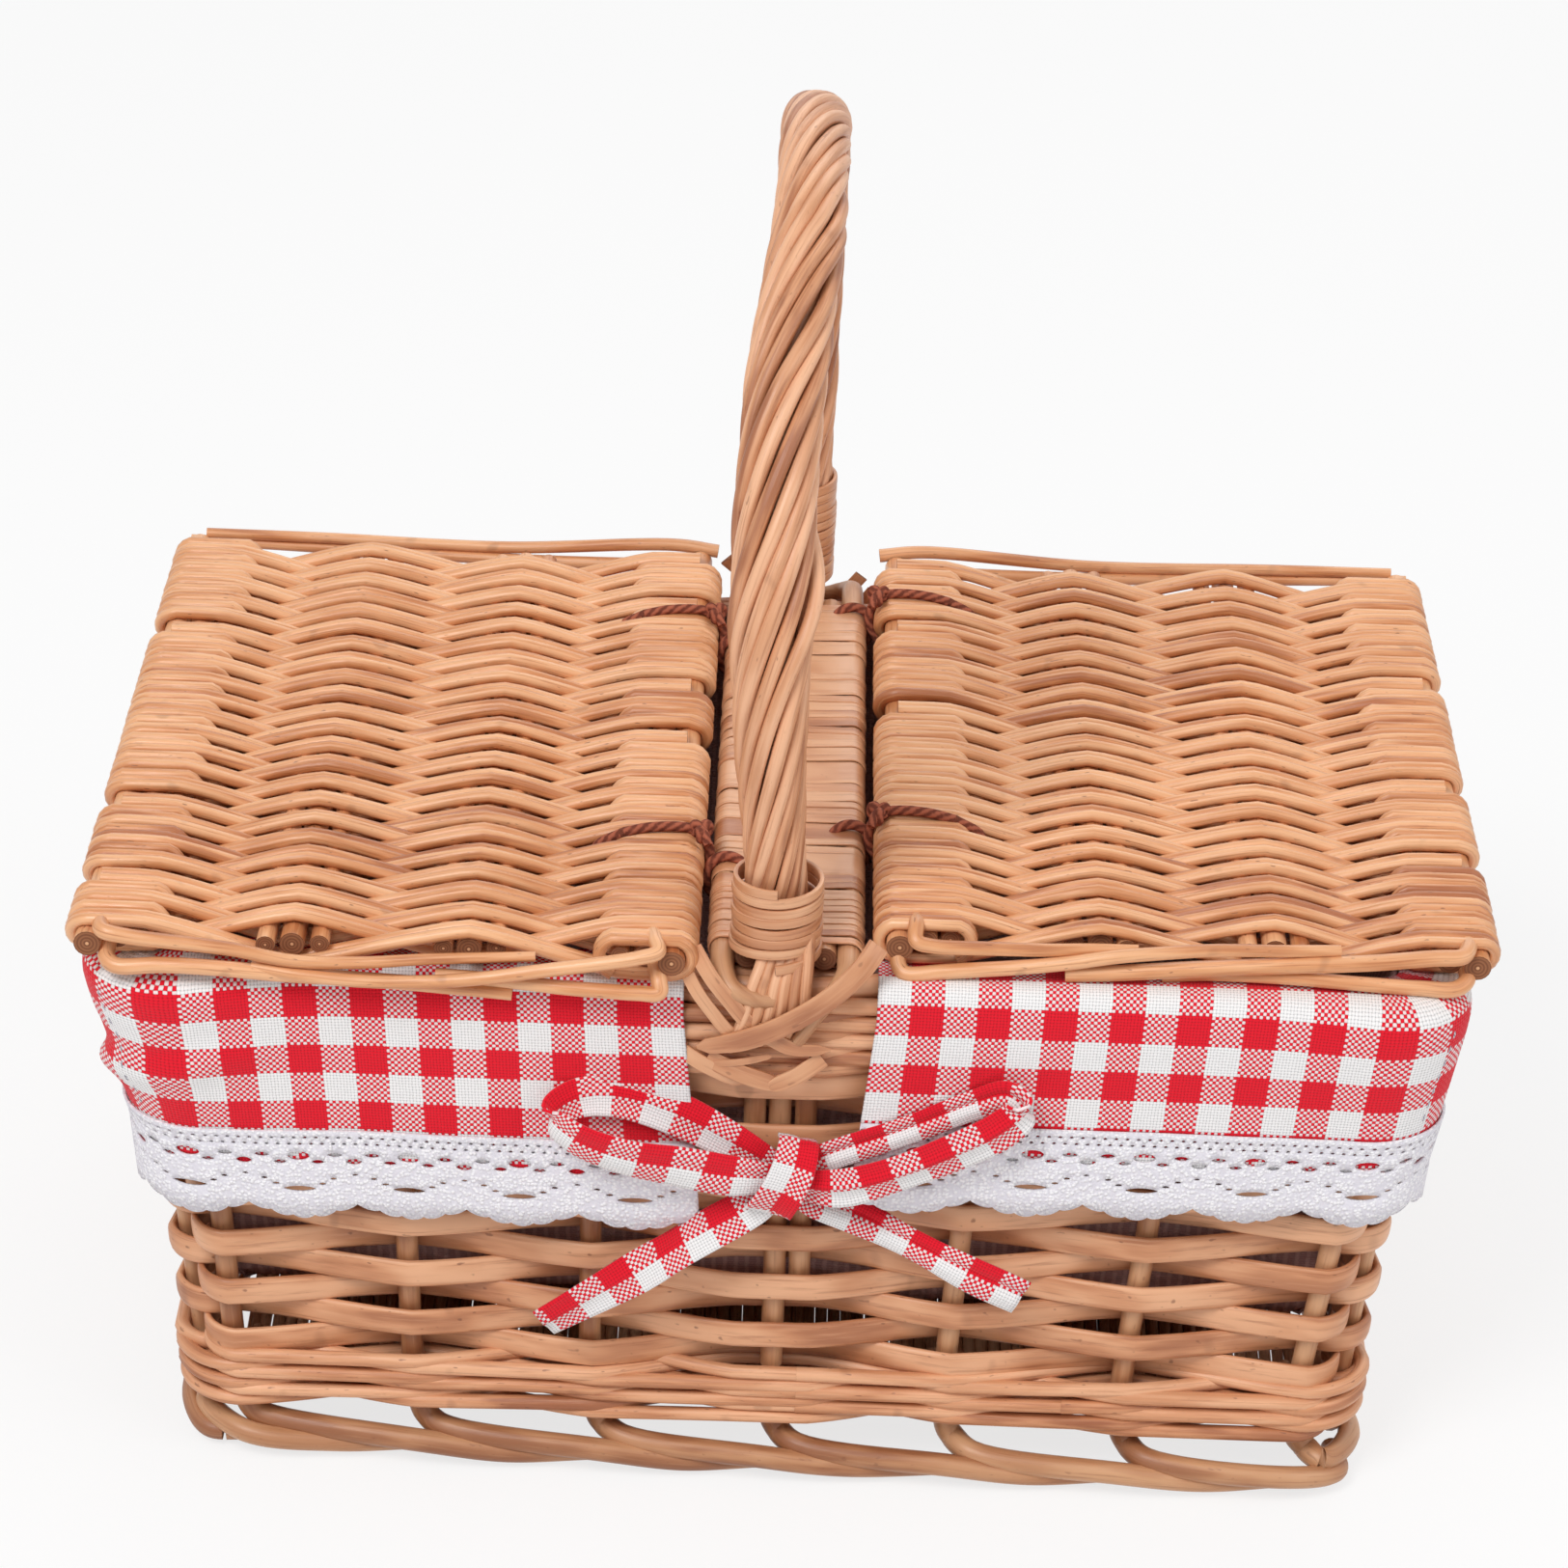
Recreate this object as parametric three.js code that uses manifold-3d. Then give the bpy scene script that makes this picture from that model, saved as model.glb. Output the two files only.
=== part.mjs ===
// Lidded picnic basket of willow: a tapered woven wall on an open foot, two woven lids hinged with cord
// on a fixed bridge, a fixed handle of twisted rods, and a cloth liner with gingham flaps, lace and bows.
// Millimetres, +Z up, +X to the right, -Y to the front; the origin is under the middle of the foot.
import * as THREE from "three";
import { mergeVertices } from "three/addons/utils/BufferGeometryUtils.js";
import Module from "manifold-3d";

const wasm = await Module();
wasm.setup();

// Overall sizes of the wall
const footWidth = 341; // outside of the wall at the ground
const footDepth = 242;
const rimWidth = 370; // outside of the wall at the rim
const rimDepth = 256;
const rimHeight = 169; // top of the rim border
const cornerRadius = 12; // of the wall's middle line

// Wall rods
const stakeRadius = 3.25;
const stakesAcross = 7; // on the front and on the back, with the corner ones
const stakesDeep = 5; // on each side, apart from the front's and back's corner ones
const bandThickness = 2; // split willow bands
const bandRods = 6; // split bands, each woven twice round
const waleRadius = 2.7; // round rods under and over the bands
const footWaleRounds = 3;
const topWaleRounds = 4;
const footGap = 18; // underside of the foot wale
const footLow = 2.4; // middle of a foot rod's end over the ground, where it is worn flat
const footSwing = 3; // how far a foot rod passes outside its neighbour
const bendReach = 5; // of a stake's bend along the wall
const bendSag = { straight: 1, corner: 2 }; // of that bend under the foot wale
const borderRadius = 4; // the rim's two strands
const borderOverlap = 0.4; // how far they press into each other
const centreFlat = 9; // half the straight stretch of a band over the handle's tail
const cornerBow = THREE.MathUtils.degToRad(25); // how far round the corner a rod keeps its side

// Clearances
const gap = 0.3; // between touching pieces
const rodSlack = 0.45; // between a weaving rod and the stake that it passes
const wrapSteps = 3; // straight steps of a rod round an edge stick
const wrapEase = 1.14; // how far those steps stand out, so that their middles clear the stick

// Base
const baseStickRadius = 3.4;
const baseRows = 8;
const baseThickness = 2;
const baseWeaveInset = 4; // from a base stick's end to the weave

// Bridge between the lids
const bridgeWidth = 45;
const bridgeStickRadius = 3.6;
const skeinThickness = 0.6;
const skeinStep = 0.35; // how far every second strip stands proud
const skeinStrips = 7;
const skeinGroove = 0.4; // between two strips
const bridgeLift = 0.2; // room for the skein over the rim
const stickPress = 0.3; // how far two sticks laid side by side press into each other

// Handle
const ropeRods = 8;
const ropeRodRadius = 2.8;
const ropeSpacing = 1.257; // from one rod's middle to the next one's, in rod diameters
const handleHeight = 380; // top of the arch over the ground
const legInset = 2.6; // from the wall's middle line at the rim to the leg's
const legStraight = 61; // of the legs over the rim, up to the arch
const ropeTwist = 3.15; // turns of the rods from leg to leg
const handleLean = 5.5; // how far the hand-made front leg bows to the left
const leanShare = 0.4; // of the rope, from the front foot to the end of that bow
const handleFeet = { front: -2, back: -1.2 }; // where the legs stand along X
const ropeSteps = 30; // straight steps of a rope rod
const ropeLift = 11; // from the rim to the rope's ends
const coreSteps = 20;
const coreBend = [1, 6]; // heights over the rim where the core's tail leans in to the leg
const coreSplice = 0.01; // share of the rope where the tail joins the core
const collarTurns = 7;
const collarSegments = 8;
const collarThickness = 1.6;
const collarValley = 1; // thickness between two turns
const collarEase = 0.45; // room for the rope's lean inside a collar
const collarHeight = 24;
const backCollarLift = 9;
const backCollarHeight = 44;
const crossWidth = 7; // the skein crossed over the leg's foot
const crossThickness = 1.2;
const crossReach = 22; // half the width of the cross
const crossRise = 6; // over the rim
const crossFold = 7; // from the cross to the fold under it

// Lids
const lidOverhang = 15; // past the wall at the side
const lidDepth = 270;
const lidGap = 3.5; // between bridge and lid
const lidRows = 18;
const lidBand = 2; // thickness of the woven rods
const lidStickRadius = 3.4;
const edgeStickRadius = 4.2;
const lidWeaveInset = 17; // from the lid's front to its weave
const weaveEase = 2; // how far past its sticks a woven rod lies level
const hingeRise = 1; // of the hinge line over the lid's middle
const endRodRadius = 2.7;
const backRodRadius = 2.1;
const rodCross = { front: 1.1, back: 1.3 }; // how far two end rods pass each other, in radii
const tieRadius = 1.5;
const knotRadius = 3.3;
const knotOffset = { x: 4, z: 2.6 }; // from the hinge line and from the lid's top
const tieSegments = 9; // of a loop round the bridge
const tieReach = 23; // how far the cord runs over the lid
const frontTie = { left: -72, right: -57 };
const backTie = { left: 75, right: 92 };

// Cloth
const cloth = 1.5;
const linerBottom = 50;
const linerRound = { inset: 3, rise: 6 }; // of the bag's bottom edge
const flapBottom = { left: 117, right: 126 };
const flapStart = { left: 28, right: 26 }; // the flaps' straight edges beside the bridge
const laceDrop = 29;
const laceThickness = 1.2;
const laceTuck = 0.5; // how far its lower edge leans in
const scallopDepth = 3;
const foldDepth = { left: 1.6, right: 0.9 }; // of the flaps' waves
const foldTurn = 2.2; // radians of a wave from one place to the next
const ribbonWidth = 12.5;
const ribbonThickness = 1;
const bowDepth = 4.6; // from a loop's back to its front
const bowKnot = { x: 4, z: 111 };
const bowLoops = { left: { x: -62, z: 131 }, right: { x: 65, z: 137 } }; // their outer ends
const bowTails = { left: { x: -66, z: 57 }, right: { x: 70, z: 71 } };
const loopSag = 4;
const loopPass = 0.6; // from a loop's start to its end in the knot
const bowKnotRadius = 8;
const bowStand = 0.8; // room under the bow for the flaps' folds

const rimOverFoot = { x: (rimWidth - footWidth) / 2, y: (rimDepth - footDepth) / 2 };
const bandSwing = stakeRadius + bandThickness / 2 + rodSlack + gap;
const wallHalf = bandSwing + bandThickness / 2;
const waleSwing = stakeRadius + waleRadius + rodSlack;
const waleHeight = (rounds) => rounds * (2 * waleRadius + gap) - gap;
const borderHeight = 2 * borderRadius;
const borderSides = 6;
const borderOffset = borderRadius * Math.cos(Math.PI / borderSides) - borderOverlap / 2;
const borderHalf = borderOffset + borderRadius * Math.cos(Math.PI / borderSides);
const topWaleZ = rimHeight - borderHeight - gap - waleHeight(topWaleRounds);
const bandsBottom = footGap + waleHeight(footWaleRounds) + gap;
const pairPitch = (topWaleZ - bandsBottom) / bandRods;
const crossBottom = topWaleZ + waleRadius;
const UP = new THREE.Vector3(0, 0, 1);

const willow = new THREE.MeshStandardMaterial({ color: 0xcc965f, roughness: 0.45 });
const paleWillow = new THREE.MeshStandardMaterial({ color: 0xd9b184, roughness: 0.5 });
const skein = new THREE.MeshStandardMaterial({ color: 0xd8a06c, roughness: 0.4 });
const cord = new THREE.MeshStandardMaterial({ color: 0x96553f, roughness: 0.9 });
const gingham = new THREE.MeshStandardMaterial({ color: 0xd97a80, roughness: 0.95 });
const laceWhite = new THREE.MeshStandardMaterial({ color: 0xebebf2, roughness: 0.95 });
const linerCloth = new THREE.MeshStandardMaterial({ color: 0x8d7470, roughness: 0.95 });

const basket = new THREE.Group();

function add(name, geometry, material) {
  const mesh = new THREE.Mesh(geometry, material);
  mesh.name = name;
  basket.add(mesh);
  return mesh;
}

// Turns triangles and corners into a geometry whose faces point out.
function closedGeometry(corners, triangles) {
  let volume = 0;
  const cross = new THREE.Vector3();
  for (const [a, b, c] of triangles) {
    volume += corners[a].dot(cross.crossVectors(corners[b], corners[c]));
  }
  const faces = volume < 0 ? triangles.map(([a, b, c]) => [a, c, b]) : triangles;
  const geometry = new THREE.BufferGeometry();
  geometry.setAttribute(
    "position",
    new THREE.Float32BufferAttribute(corners.flatMap((p) => p.toArray()), 3),
  );
  geometry.setIndex(faces.flat());
  return geometry;
}

// Sweeps a section of [across, up] points along a path. `up` is the direction the section stands in, one
// for the whole path or one for each point. A `level` section stays in that direction where the path climbs.
function sweep(points, section, { up = UP, closed = false, level = false } = {}) {
  const corners = [];
  const triangles = [];
  const count = points.length;
  const sides = section.length;
  points.forEach((point, i) => {
    const next = closed ? points[(i + 1) % count] : points[Math.min(i + 1, count - 1)];
    const last = closed ? points[(i + count - 1) % count] : points[Math.max(i - 1, 0)];
    const along = next.clone().sub(last).normalize();
    const stand = Array.isArray(up) ? up[i] : up;
    if (level) along.projectOnPlane(stand).normalize();
    const across = along.clone().cross(stand).normalize();
    const lift = across.clone().cross(along);
    for (const [u, v] of section) {
      corners.push(point.clone().addScaledVector(across, u).addScaledVector(lift, v));
    }
  });
  const lastRing = closed ? count : count - 1;
  for (let i = 0; i < lastRing; i++) {
    for (let j = 0; j < sides; j++) {
      const a = i * sides + j;
      const b = i * sides + ((j + 1) % sides);
      const c = ((i + 1) % count) * sides + j;
      const d = ((i + 1) % count) * sides + ((j + 1) % sides);
      triangles.push([a, b, d], [a, d, c]);
    }
  }
  if (!closed) {
    const end = (count - 1) * sides;
    for (let j = 1; j < sides - 1; j++) {
      triangles.push([0, j + 1, j], [end, end + j, end + j + 1]);
    }
  }
  return closedGeometry(corners, triangles);
}

// A rod's section: `turn` is a share of a side, 0.5 for a flat on top of an even-sided one.
function roundSection(radius, sides, turn = 0.5) {
  return Array.from({ length: sides }, (_, i) => {
    const angle = ((i + turn) / sides) * 2 * Math.PI;
    return [radius * Math.cos(angle), radius * Math.sin(angle)];
  });
}

function flatSection(thickness, height) {
  const t = thickness / 2;
  const h = height / 2;
  return [
    [-t, -h],
    [t, -h],
    [t, h],
    [-t, h],
  ];
}

// A sheet of cloth: a grid of points given a thickness across its own surface.
function sheet(grid, thickness) {
  const rows = grid.length;
  const columns = grid[0].length;
  const at = (i, j) => grid[THREE.MathUtils.clamp(i, 0, rows - 1)][THREE.MathUtils.clamp(j, 0, columns - 1)];
  const corners = [];
  for (const side of [0.5, -0.5]) {
    for (let i = 0; i < rows; i++) {
      for (let j = 0; j < columns; j++) {
        const u = at(i + 1, j).clone().sub(at(i - 1, j));
        const v = at(i, j + 1).clone().sub(at(i, j - 1));
        const normal = u.cross(v).normalize();
        corners.push(at(i, j).clone().addScaledVector(normal, side * thickness));
      }
    }
  }
  const triangles = [];
  const index = (layer, i, j) => (layer * rows + i) * columns + j;
  const quad = (a, b, c, d) => triangles.push([a, b, c], [a, c, d]);
  for (let i = 0; i < rows - 1; i++) {
    for (let j = 0; j < columns - 1; j++) {
      quad(index(0, i, j), index(0, i + 1, j), index(0, i + 1, j + 1), index(0, i, j + 1));
      quad(index(1, i, j), index(1, i, j + 1), index(1, i + 1, j + 1), index(1, i + 1, j));
    }
    quad(index(0, i, 0), index(1, i, 0), index(1, i + 1, 0), index(0, i + 1, 0));
    const j = columns - 1;
    quad(index(0, i, j), index(0, i + 1, j), index(1, i + 1, j), index(1, i, j));
  }
  for (let j = 0; j < columns - 1; j++) {
    quad(index(0, 0, j), index(0, 0, j + 1), index(1, 0, j + 1), index(1, 0, j));
    const i = rows - 1;
    quad(index(0, i, j), index(1, i, j), index(1, i, j + 1), index(0, i, j + 1));
  }
  return closedGeometry(corners, triangles);
}

function solidOf(geometry) {
  const bare = geometry.clone();
  bare.deleteAttribute("normal");
  bare.deleteAttribute("uv");
  const merged = mergeVertices(bare, 1e-4);
  return new wasm.Manifold(
    new wasm.Mesh({
      numProp: 3,
      vertProperties: merged.attributes.position.array,
      triVerts: new Uint32Array(merged.index.array),
    }),
  );
}

function geometryOf(solid) {
  const mesh = solid.getMesh();
  const geometry = new THREE.BufferGeometry();
  geometry.setAttribute("position", new THREE.BufferAttribute(mesh.vertProperties, 3));
  geometry.setIndex(new THREE.BufferAttribute(mesh.triVerts, 1));
  return geometry;
}

function join(geometries) {
  const [first, ...rest] = geometries.map(solidOf);
  return geometryOf(rest.reduce((sum, solid) => sum.add(solid), first));
}

function cut(geometry, tools) {
  return geometryOf(tools.map(solidOf).reduce((sum, tool) => sum.subtract(tool), solidOf(geometry)));
}

// The wall's middle line at a height: half sizes and a point on it, moved outwards by `offset`.
function wallHalfSize(z) {
  return {
    x: footWidth / 2 - wallHalf + (rimOverFoot.x * z) / rimHeight,
    y: footDepth / 2 - wallHalf + (rimOverFoot.y * z) / rimHeight,
  };
}

// `place` holds a side, a share of that side's straight half from -1 to 1, and a turn round its corner.
function wallPoint(place, z, offset) {
  const half = wallHalfSize(z);
  const across = { x: half.x - cornerRadius, y: half.y - cornerRadius };
  const outward = new THREE.Vector3(0, -1, 0).applyAxisAngle(UP, place.facing);
  const along = new THREE.Vector3(1, 0, 0).applyAxisAngle(UP, place.facing);
  const sideways = Math.abs(outward.x) > 0.5;
  const reach = sideways ? across.y : across.x;
  const depth = sideways ? across.x : across.y;
  const centre = along
    .clone()
    .multiplyScalar(place.share * reach + (place.shift ?? 0))
    .addScaledVector(outward, depth);
  const normal = outward.clone().applyAxisAngle(UP, place.turn ?? 0);
  centre.addScaledVector(normal, cornerRadius + offset);
  centre.z = z;
  return centre;
}

// Every stake in order round the wall, from the front's left corner, anticlockwise from above.
const stakes = [];
for (let side = 0; side < 4; side++) {
  const count = side % 2 === 0 ? stakesAcross : stakesDeep;
  for (let i = 0; i < count; i++) {
    const share = -1 + (2 * i) / (count - 1);
    stakes.push({ facing: (side * Math.PI) / 2, share, corner: i === count - 1 });
  }
}
const frontCentre = (stakesAcross - 1) / 2;
const backCentre = stakesAcross + stakesDeep + frontCentre;

// A plain ring round the wall.
function wallRing(z, offset) {
  const points = [];
  for (const stake of stakes) {
    if (Math.abs(stake.share) < 0.99) continue;
    points.push(wallPoint(stake, z, offset));
    if (stake.corner) points.push(wallPoint({ ...stake, turn: Math.PI / 4 }, z, offset));
  }
  return points;
}

// The path of one rod woven round the wall, outside one stake and inside the next. After each round it
// steps up by `rise` and changes sides, so that each round lies opposite the one under it. `leans` holds
// the wall's own slope at each point.
function weaverPath(z, rise, rounds, swing, start, parity) {
  const points = [];
  const leans = [];
  const lay = (place, level, offset) => {
    points.push(wallPoint(place, level, offset));
    leans.push(wallPoint(place, level + 1, offset).sub(points[points.length - 1]).normalize());
  };
  for (let round = 0; round < rounds; round++) {
    const level = z + round * rise;
    for (let step = 0; step < stakes.length; step++) {
      const i = (start + step) % stakes.length;
      const stake = stakes[i];
      const side = (i + parity + round) % 2 === 0 ? 1 : -1;
      const isCentre = i === frontCentre || i === backCentre;
      const shifts = isCentre ? [-centreFlat, centreFlat] : [0];
      for (const shift of shifts) lay({ ...stake, shift }, level, side * swing);
      if (!stake.corner || step === stakes.length - 1) continue;
      lay({ ...stake, turn: cornerBow }, level, side * swing);
      lay({ ...stake, turn: Math.PI / 2 - cornerBow }, level, -side * swing);
    }
  }
  return { points, leans };
}

// Every stake bends over the ground, runs outside its neighbour and ends on the ground under the next one.
function makeStakeFrame() {
  const stakeTop = rimHeight - borderHeight - 3 * gap;
  const bend = footGap - stakeRadius - gap;
  const rods = stakes.map((stake, i) => {
    const next = stakes[(i + 1) % stakes.length];
    const after = stakes[(i + 2) % stakes.length];
    const isCentre = i === frontCentre || i === backCentre;
    const top = isCentre ? bandsBottom - 2 * gap : stakeTop;
    const path = [wallPoint(stake, top, 0), wallPoint(stake, footGap, 0)];
    if (stake.corner) path.push(wallPoint({ ...stake, turn: cornerBow }, bend - bendSag.corner, 0));
    else path.push(wallPoint({ ...stake, shift: bendReach }, bend - bendSag.straight, 0));
    path.push(wallPoint(next, bend / 2 + footLow, footSwing));
    if (next.corner) path.push(wallPoint({ ...next, turn: Math.PI / 4 }, bend / 2, footSwing / 2));
    path.push(wallPoint(after, footLow, 0));
    const normals = path.map((point, j) => outwardAt(j < 3 ? stake : j === path.length - 1 ? after : next));
    return sweep(path, roundSection(stakeRadius, 5), { up: normals });
  });
  const groundDepth = 20;
  const ground = new THREE.BoxGeometry(2 * footWidth, 2 * footDepth, groundDepth);
  return cut(join(rods), [ground.translate(0, 0, -groundDepth / 2)]);
}

function outwardAt(place) {
  return new THREE.Vector3(0, -1, 0).applyAxisAngle(UP, place.facing + (place.corner ? Math.PI / 8 : 0));
}

function makeWale(bottom, rounds, start, parity) {
  const path = weaverPath(bottom + waleRadius, 2 * waleRadius + gap, rounds, waleSwing, start, parity);
  return sweep(path.points, roundSection(waleRadius, 4, 0), { up: path.leans, level: true });
}

// Two rounds of one split band.
function makeBands(index) {
  const rise = pairPitch / 2;
  const bottom = bandsBottom + index * pairPitch;
  const path = weaverPath(bottom + rise / 2, rise, 2, bandSwing, backCentre + 1 + (index % 3), 1);
  return sweep(path.points, flatSection(bandThickness, rise - gap), { up: path.leans, level: true });
}

function makeBorder(core) {
  const z = rimHeight - borderRadius;
  const strands = [borderOffset, -borderOffset].map((side) => {
    return sweep(wallRing(z, side), roundSection(borderRadius, borderSides), { closed: true });
  });
  return cut(join(strands), [core]);
}

// A woven panel: one rod goes over and under groups of sticks, round the edge stick and back. The rows
// run along X and follow one another along Y; `groups` hold the sticks' places, half widths and radii.
function wovenPanel(groups, rows, from, to, thickness) {
  const pitch = (to - from) / rows;
  const last = groups.length - 1;
  const rise = (group) => group.radius + gap + thickness / 2;
  const path = [];
  const lay = (x, y, z) => path.push(new THREE.Vector3(x, y, z));
  let side = 1;
  for (let row = 0; row < rows; row++) {
    const y = from + (row + 0.5) * pitch;
    const order = row % 2 === 0 ? groups : [...groups].reverse();
    const ahead = row % 2 === 0 ? 1 : -1;
    order.forEach((group, g) => {
      side = -side;
      if (g === 0) lay(group.inner, y, side * rise(group));
      else if (g < last) {
        lay(group.at - ahead * group.half, y, side * rise(group));
        lay(group.at + ahead * group.half, y, side * rise(group));
      } else {
        lay(group.inner, y, side * rise(group));
        if (row === rows - 1) return;
        for (let i = 0; i <= wrapSteps; i++) {
          const angle = Math.PI / 2 - (Math.PI * i) / wrapSteps;
          const radius = rise(group) * (i === 0 || i === wrapSteps ? 1 : wrapEase);
          const out = ahead * radius * Math.cos(angle);
          lay(group.edge + out, y + (pitch * i) / wrapSteps, side * radius * Math.sin(angle));
        }
      }
    });
  }
  return sweep(path, flatSection(thickness, pitch - gap), { up: new THREE.Vector3(0, 1, 0), level: true });
}

function stickPair(places, from, to) {
  const rods = places.map(({ x, radius }) =>
    new THREE.CylinderGeometry(radius, radius, to - from, 8).translate(x, (from + to) / 2, 0),
  );
  return rods.length > 1 ? join(rods) : geometryOf(solidOf(rods[0]));
}

// Base: sticks along X, rows across them, standing inside the foot wale.
const baseZ = footGap + waleHeight(footWaleRounds) / 2;
const baseHalf = wallHalfSize(baseZ);
const baseEdgeY = baseHalf.y - waleSwing - waleRadius - gap - baseThickness - gap - baseStickRadius;
const baseEdgeX = baseHalf.x - waleSwing - waleRadius - gap;
const baseGroups = [-1, 0, 1].map((share) => ({
  at: share * baseEdgeY,
  edge: share * baseEdgeY,
  inner: share * (baseEdgeY - baseStickRadius),
  half: baseStickRadius,
  radius: baseStickRadius,
}));
const baseWeaveEnd = baseEdgeX - baseWeaveInset;
const baseWeave = wovenPanel(baseGroups, baseRows, -baseWeaveEnd, baseWeaveEnd, baseThickness);
baseWeave.rotateZ(Math.PI / 2);
add("base_weave", baseWeave.translate(0, 0, baseZ), willow);
["front", "middle", "back"].forEach((name, i) => {
  const stick = new THREE.CylinderGeometry(baseStickRadius, baseStickRadius, 2 * baseEdgeX, 8);
  stick.rotateZ(Math.PI / 2).translate(0, baseGroups[i].at, baseZ);
  add("base_stick_" + name, stick, paleWillow);
});

// Handle: the core runs down into the wall as the middle stake of the front and of the back.
const legY = wallHalfSize(rimHeight).y - legInset;
const ropePitchRadius = (ropeSpacing * ropeRodRadius) / Math.sin(Math.PI / ropeRods);
const ropeRadius = ropePitchRadius + ropeRodRadius;
const archFoot = rimHeight + legStraight;
const archHeight = handleHeight - ropeRadius - archFoot;
const ropeStart = rimHeight + ropeLift;
function handleLeanAt(share) {
  const bow = handleLean * Math.sin(Math.PI * Math.min(1, share / leanShare));
  return THREE.MathUtils.lerp(handleFeet.front, handleFeet.back, share) - bow;
}
function handlePoint(share) {
  const legLength = archFoot - ropeStart;
  const archLength = (Math.PI / 2) * (legY + archHeight);
  const total = 2 * legLength + archLength;
  const distance = share * total;
  const x = handleLeanAt(share);
  if (distance < legLength) return new THREE.Vector3(x, -legY, ropeStart + distance);
  if (distance > total - legLength) return new THREE.Vector3(x, legY, ropeStart + (total - distance));
  const angle = ((distance - legLength) / archLength) * Math.PI;
  return new THREE.Vector3(x, -legY * Math.cos(angle), archFoot + archHeight * Math.sin(angle));
}
const coreRadius = ropePitchRadius * Math.cos((Math.PI * ropeTwist) / ropeSteps) - ropeRodRadius - gap;
function makeCore(extra) {
  const tailBottom = bandsBottom + gap;
  const frontTail = wallPoint(stakes[frontCentre], tailBottom, 0);
  const backTail = wallPoint(stakes[backCentre], tailBottom, 0);
  const tail = (foot, stake) => [foot, ...coreBend.map((rise) => wallPoint(stake, rimHeight + rise, 0))];
  const arch = Array.from({ length: coreSteps + 1 }, (_, i) => handlePoint(i / coreSteps));
  const side = new THREE.Vector3(1, 0, 0);
  const thick = sweep(arch, roundSection(coreRadius + extra, 6), { up: side });
  const front = [...tail(frontTail, stakes[frontCentre]), handlePoint(coreSplice)];
  const back = [...tail(backTail, stakes[backCentre]), handlePoint(1 - coreSplice)];
  const tails = [front, back].map((path) => sweep(path, roundSection(stakeRadius + extra, 6), { up: side }));
  return join([thick, ...tails]);
}
function makeRopeRod(index) {
  const points = [];
  for (let i = 0; i <= ropeSteps; i++) {
    const share = i / ropeSteps;
    const here = handlePoint(share);
    const ahead = handlePoint(Math.min(1, share + coreSplice));
    ahead.sub(handlePoint(Math.max(0, share - coreSplice))).normalize();
    const outward = new THREE.Vector3(1, 0, 0).cross(ahead).normalize();
    const sideways = ahead.clone().cross(outward);
    const angle = 2 * Math.PI * (index / ropeRods - ropeTwist * share);
    points.push(
      here
        .addScaledVector(outward, ropePitchRadius * Math.cos(angle))
        .addScaledVector(sideways, ropePitchRadius * Math.sin(angle)),
    );
  }
  return sweep(points, roundSection(ropeRodRadius, 4), { up: new THREE.Vector3(1, 0, 0) });
}
const core = makeCore(0);
const coreRoom = makeCore(gap);
add("handle_core", core, willow);
for (let i = 0; i < ropeRods; i++) add("handle_rod_" + (i + 1), makeRopeRod(i), willow);

// Collars: turns of skein round the rope's ends, as one ribbed sleeve.
const collarInner = (ropeRadius + gap + collarEase) / Math.cos(Math.PI / collarSegments);
function makeCollar(share, bottom, height) {
  const pitch = height / collarTurns;
  const centre = handlePoint(share);
  const inner = collarInner;
  const profile = [new THREE.Vector2(inner, 0)];
  for (let i = 0; i < collarTurns; i++) {
    profile.push(new THREE.Vector2(inner + collarValley, i * pitch));
    profile.push(new THREE.Vector2(inner + collarThickness, (i + 0.5) * pitch));
  }
  profile.push(new THREE.Vector2(inner + collarValley, height), new THREE.Vector2(inner, height));
  profile.push(profile[0].clone());
  const geometry = new THREE.LatheGeometry(profile, collarSegments).rotateX(Math.PI / 2);
  return geometry.translate(centre.x, centre.y, bottom);
}

// Skein crossed over the wall under each leg.
function makeCross(stake) {
  const top = rimHeight + crossRise;
  const bottom = crossBottom;
  const offset = waleSwing + waleRadius + gap + crossThickness / 2;
  const strips = [1, -1].map((sign) => {
    const path = [
      wallPoint({ ...stake, shift: -sign * crossReach }, top, offset),
      wallPoint({ ...stake, shift: 0 }, (top + bottom) / 2, offset + gap),
      wallPoint({ ...stake, shift: sign * crossReach }, bottom, offset),
      wallPoint({ ...stake, shift: 0 }, bottom - crossFold, offset),
    ];
    return sweep(path, flatSection(crossWidth, crossThickness), { up: new THREE.Vector3(0, -1, 0) });
  });
  return join(strips);
}
add("front_cross_skein", makeCross(stakes[frontCentre]), skein);
add("back_cross_skein", makeCross(stakes[backCentre]), skein);

// Wall
add("stake_frame", makeStakeFrame(), paleWillow);
add("foot_wale", makeWale(footGap, footWaleRounds, backCentre + 1, 0), willow);
for (let i = 0; i < bandRods; i++) add("wall_band_" + (i + 1), makeBands(i), willow);
add("top_wale", makeWale(topWaleZ, topWaleRounds, backCentre + 3, 1), willow);
add("rim_border", makeBorder(coreRoom), willow);

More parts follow.
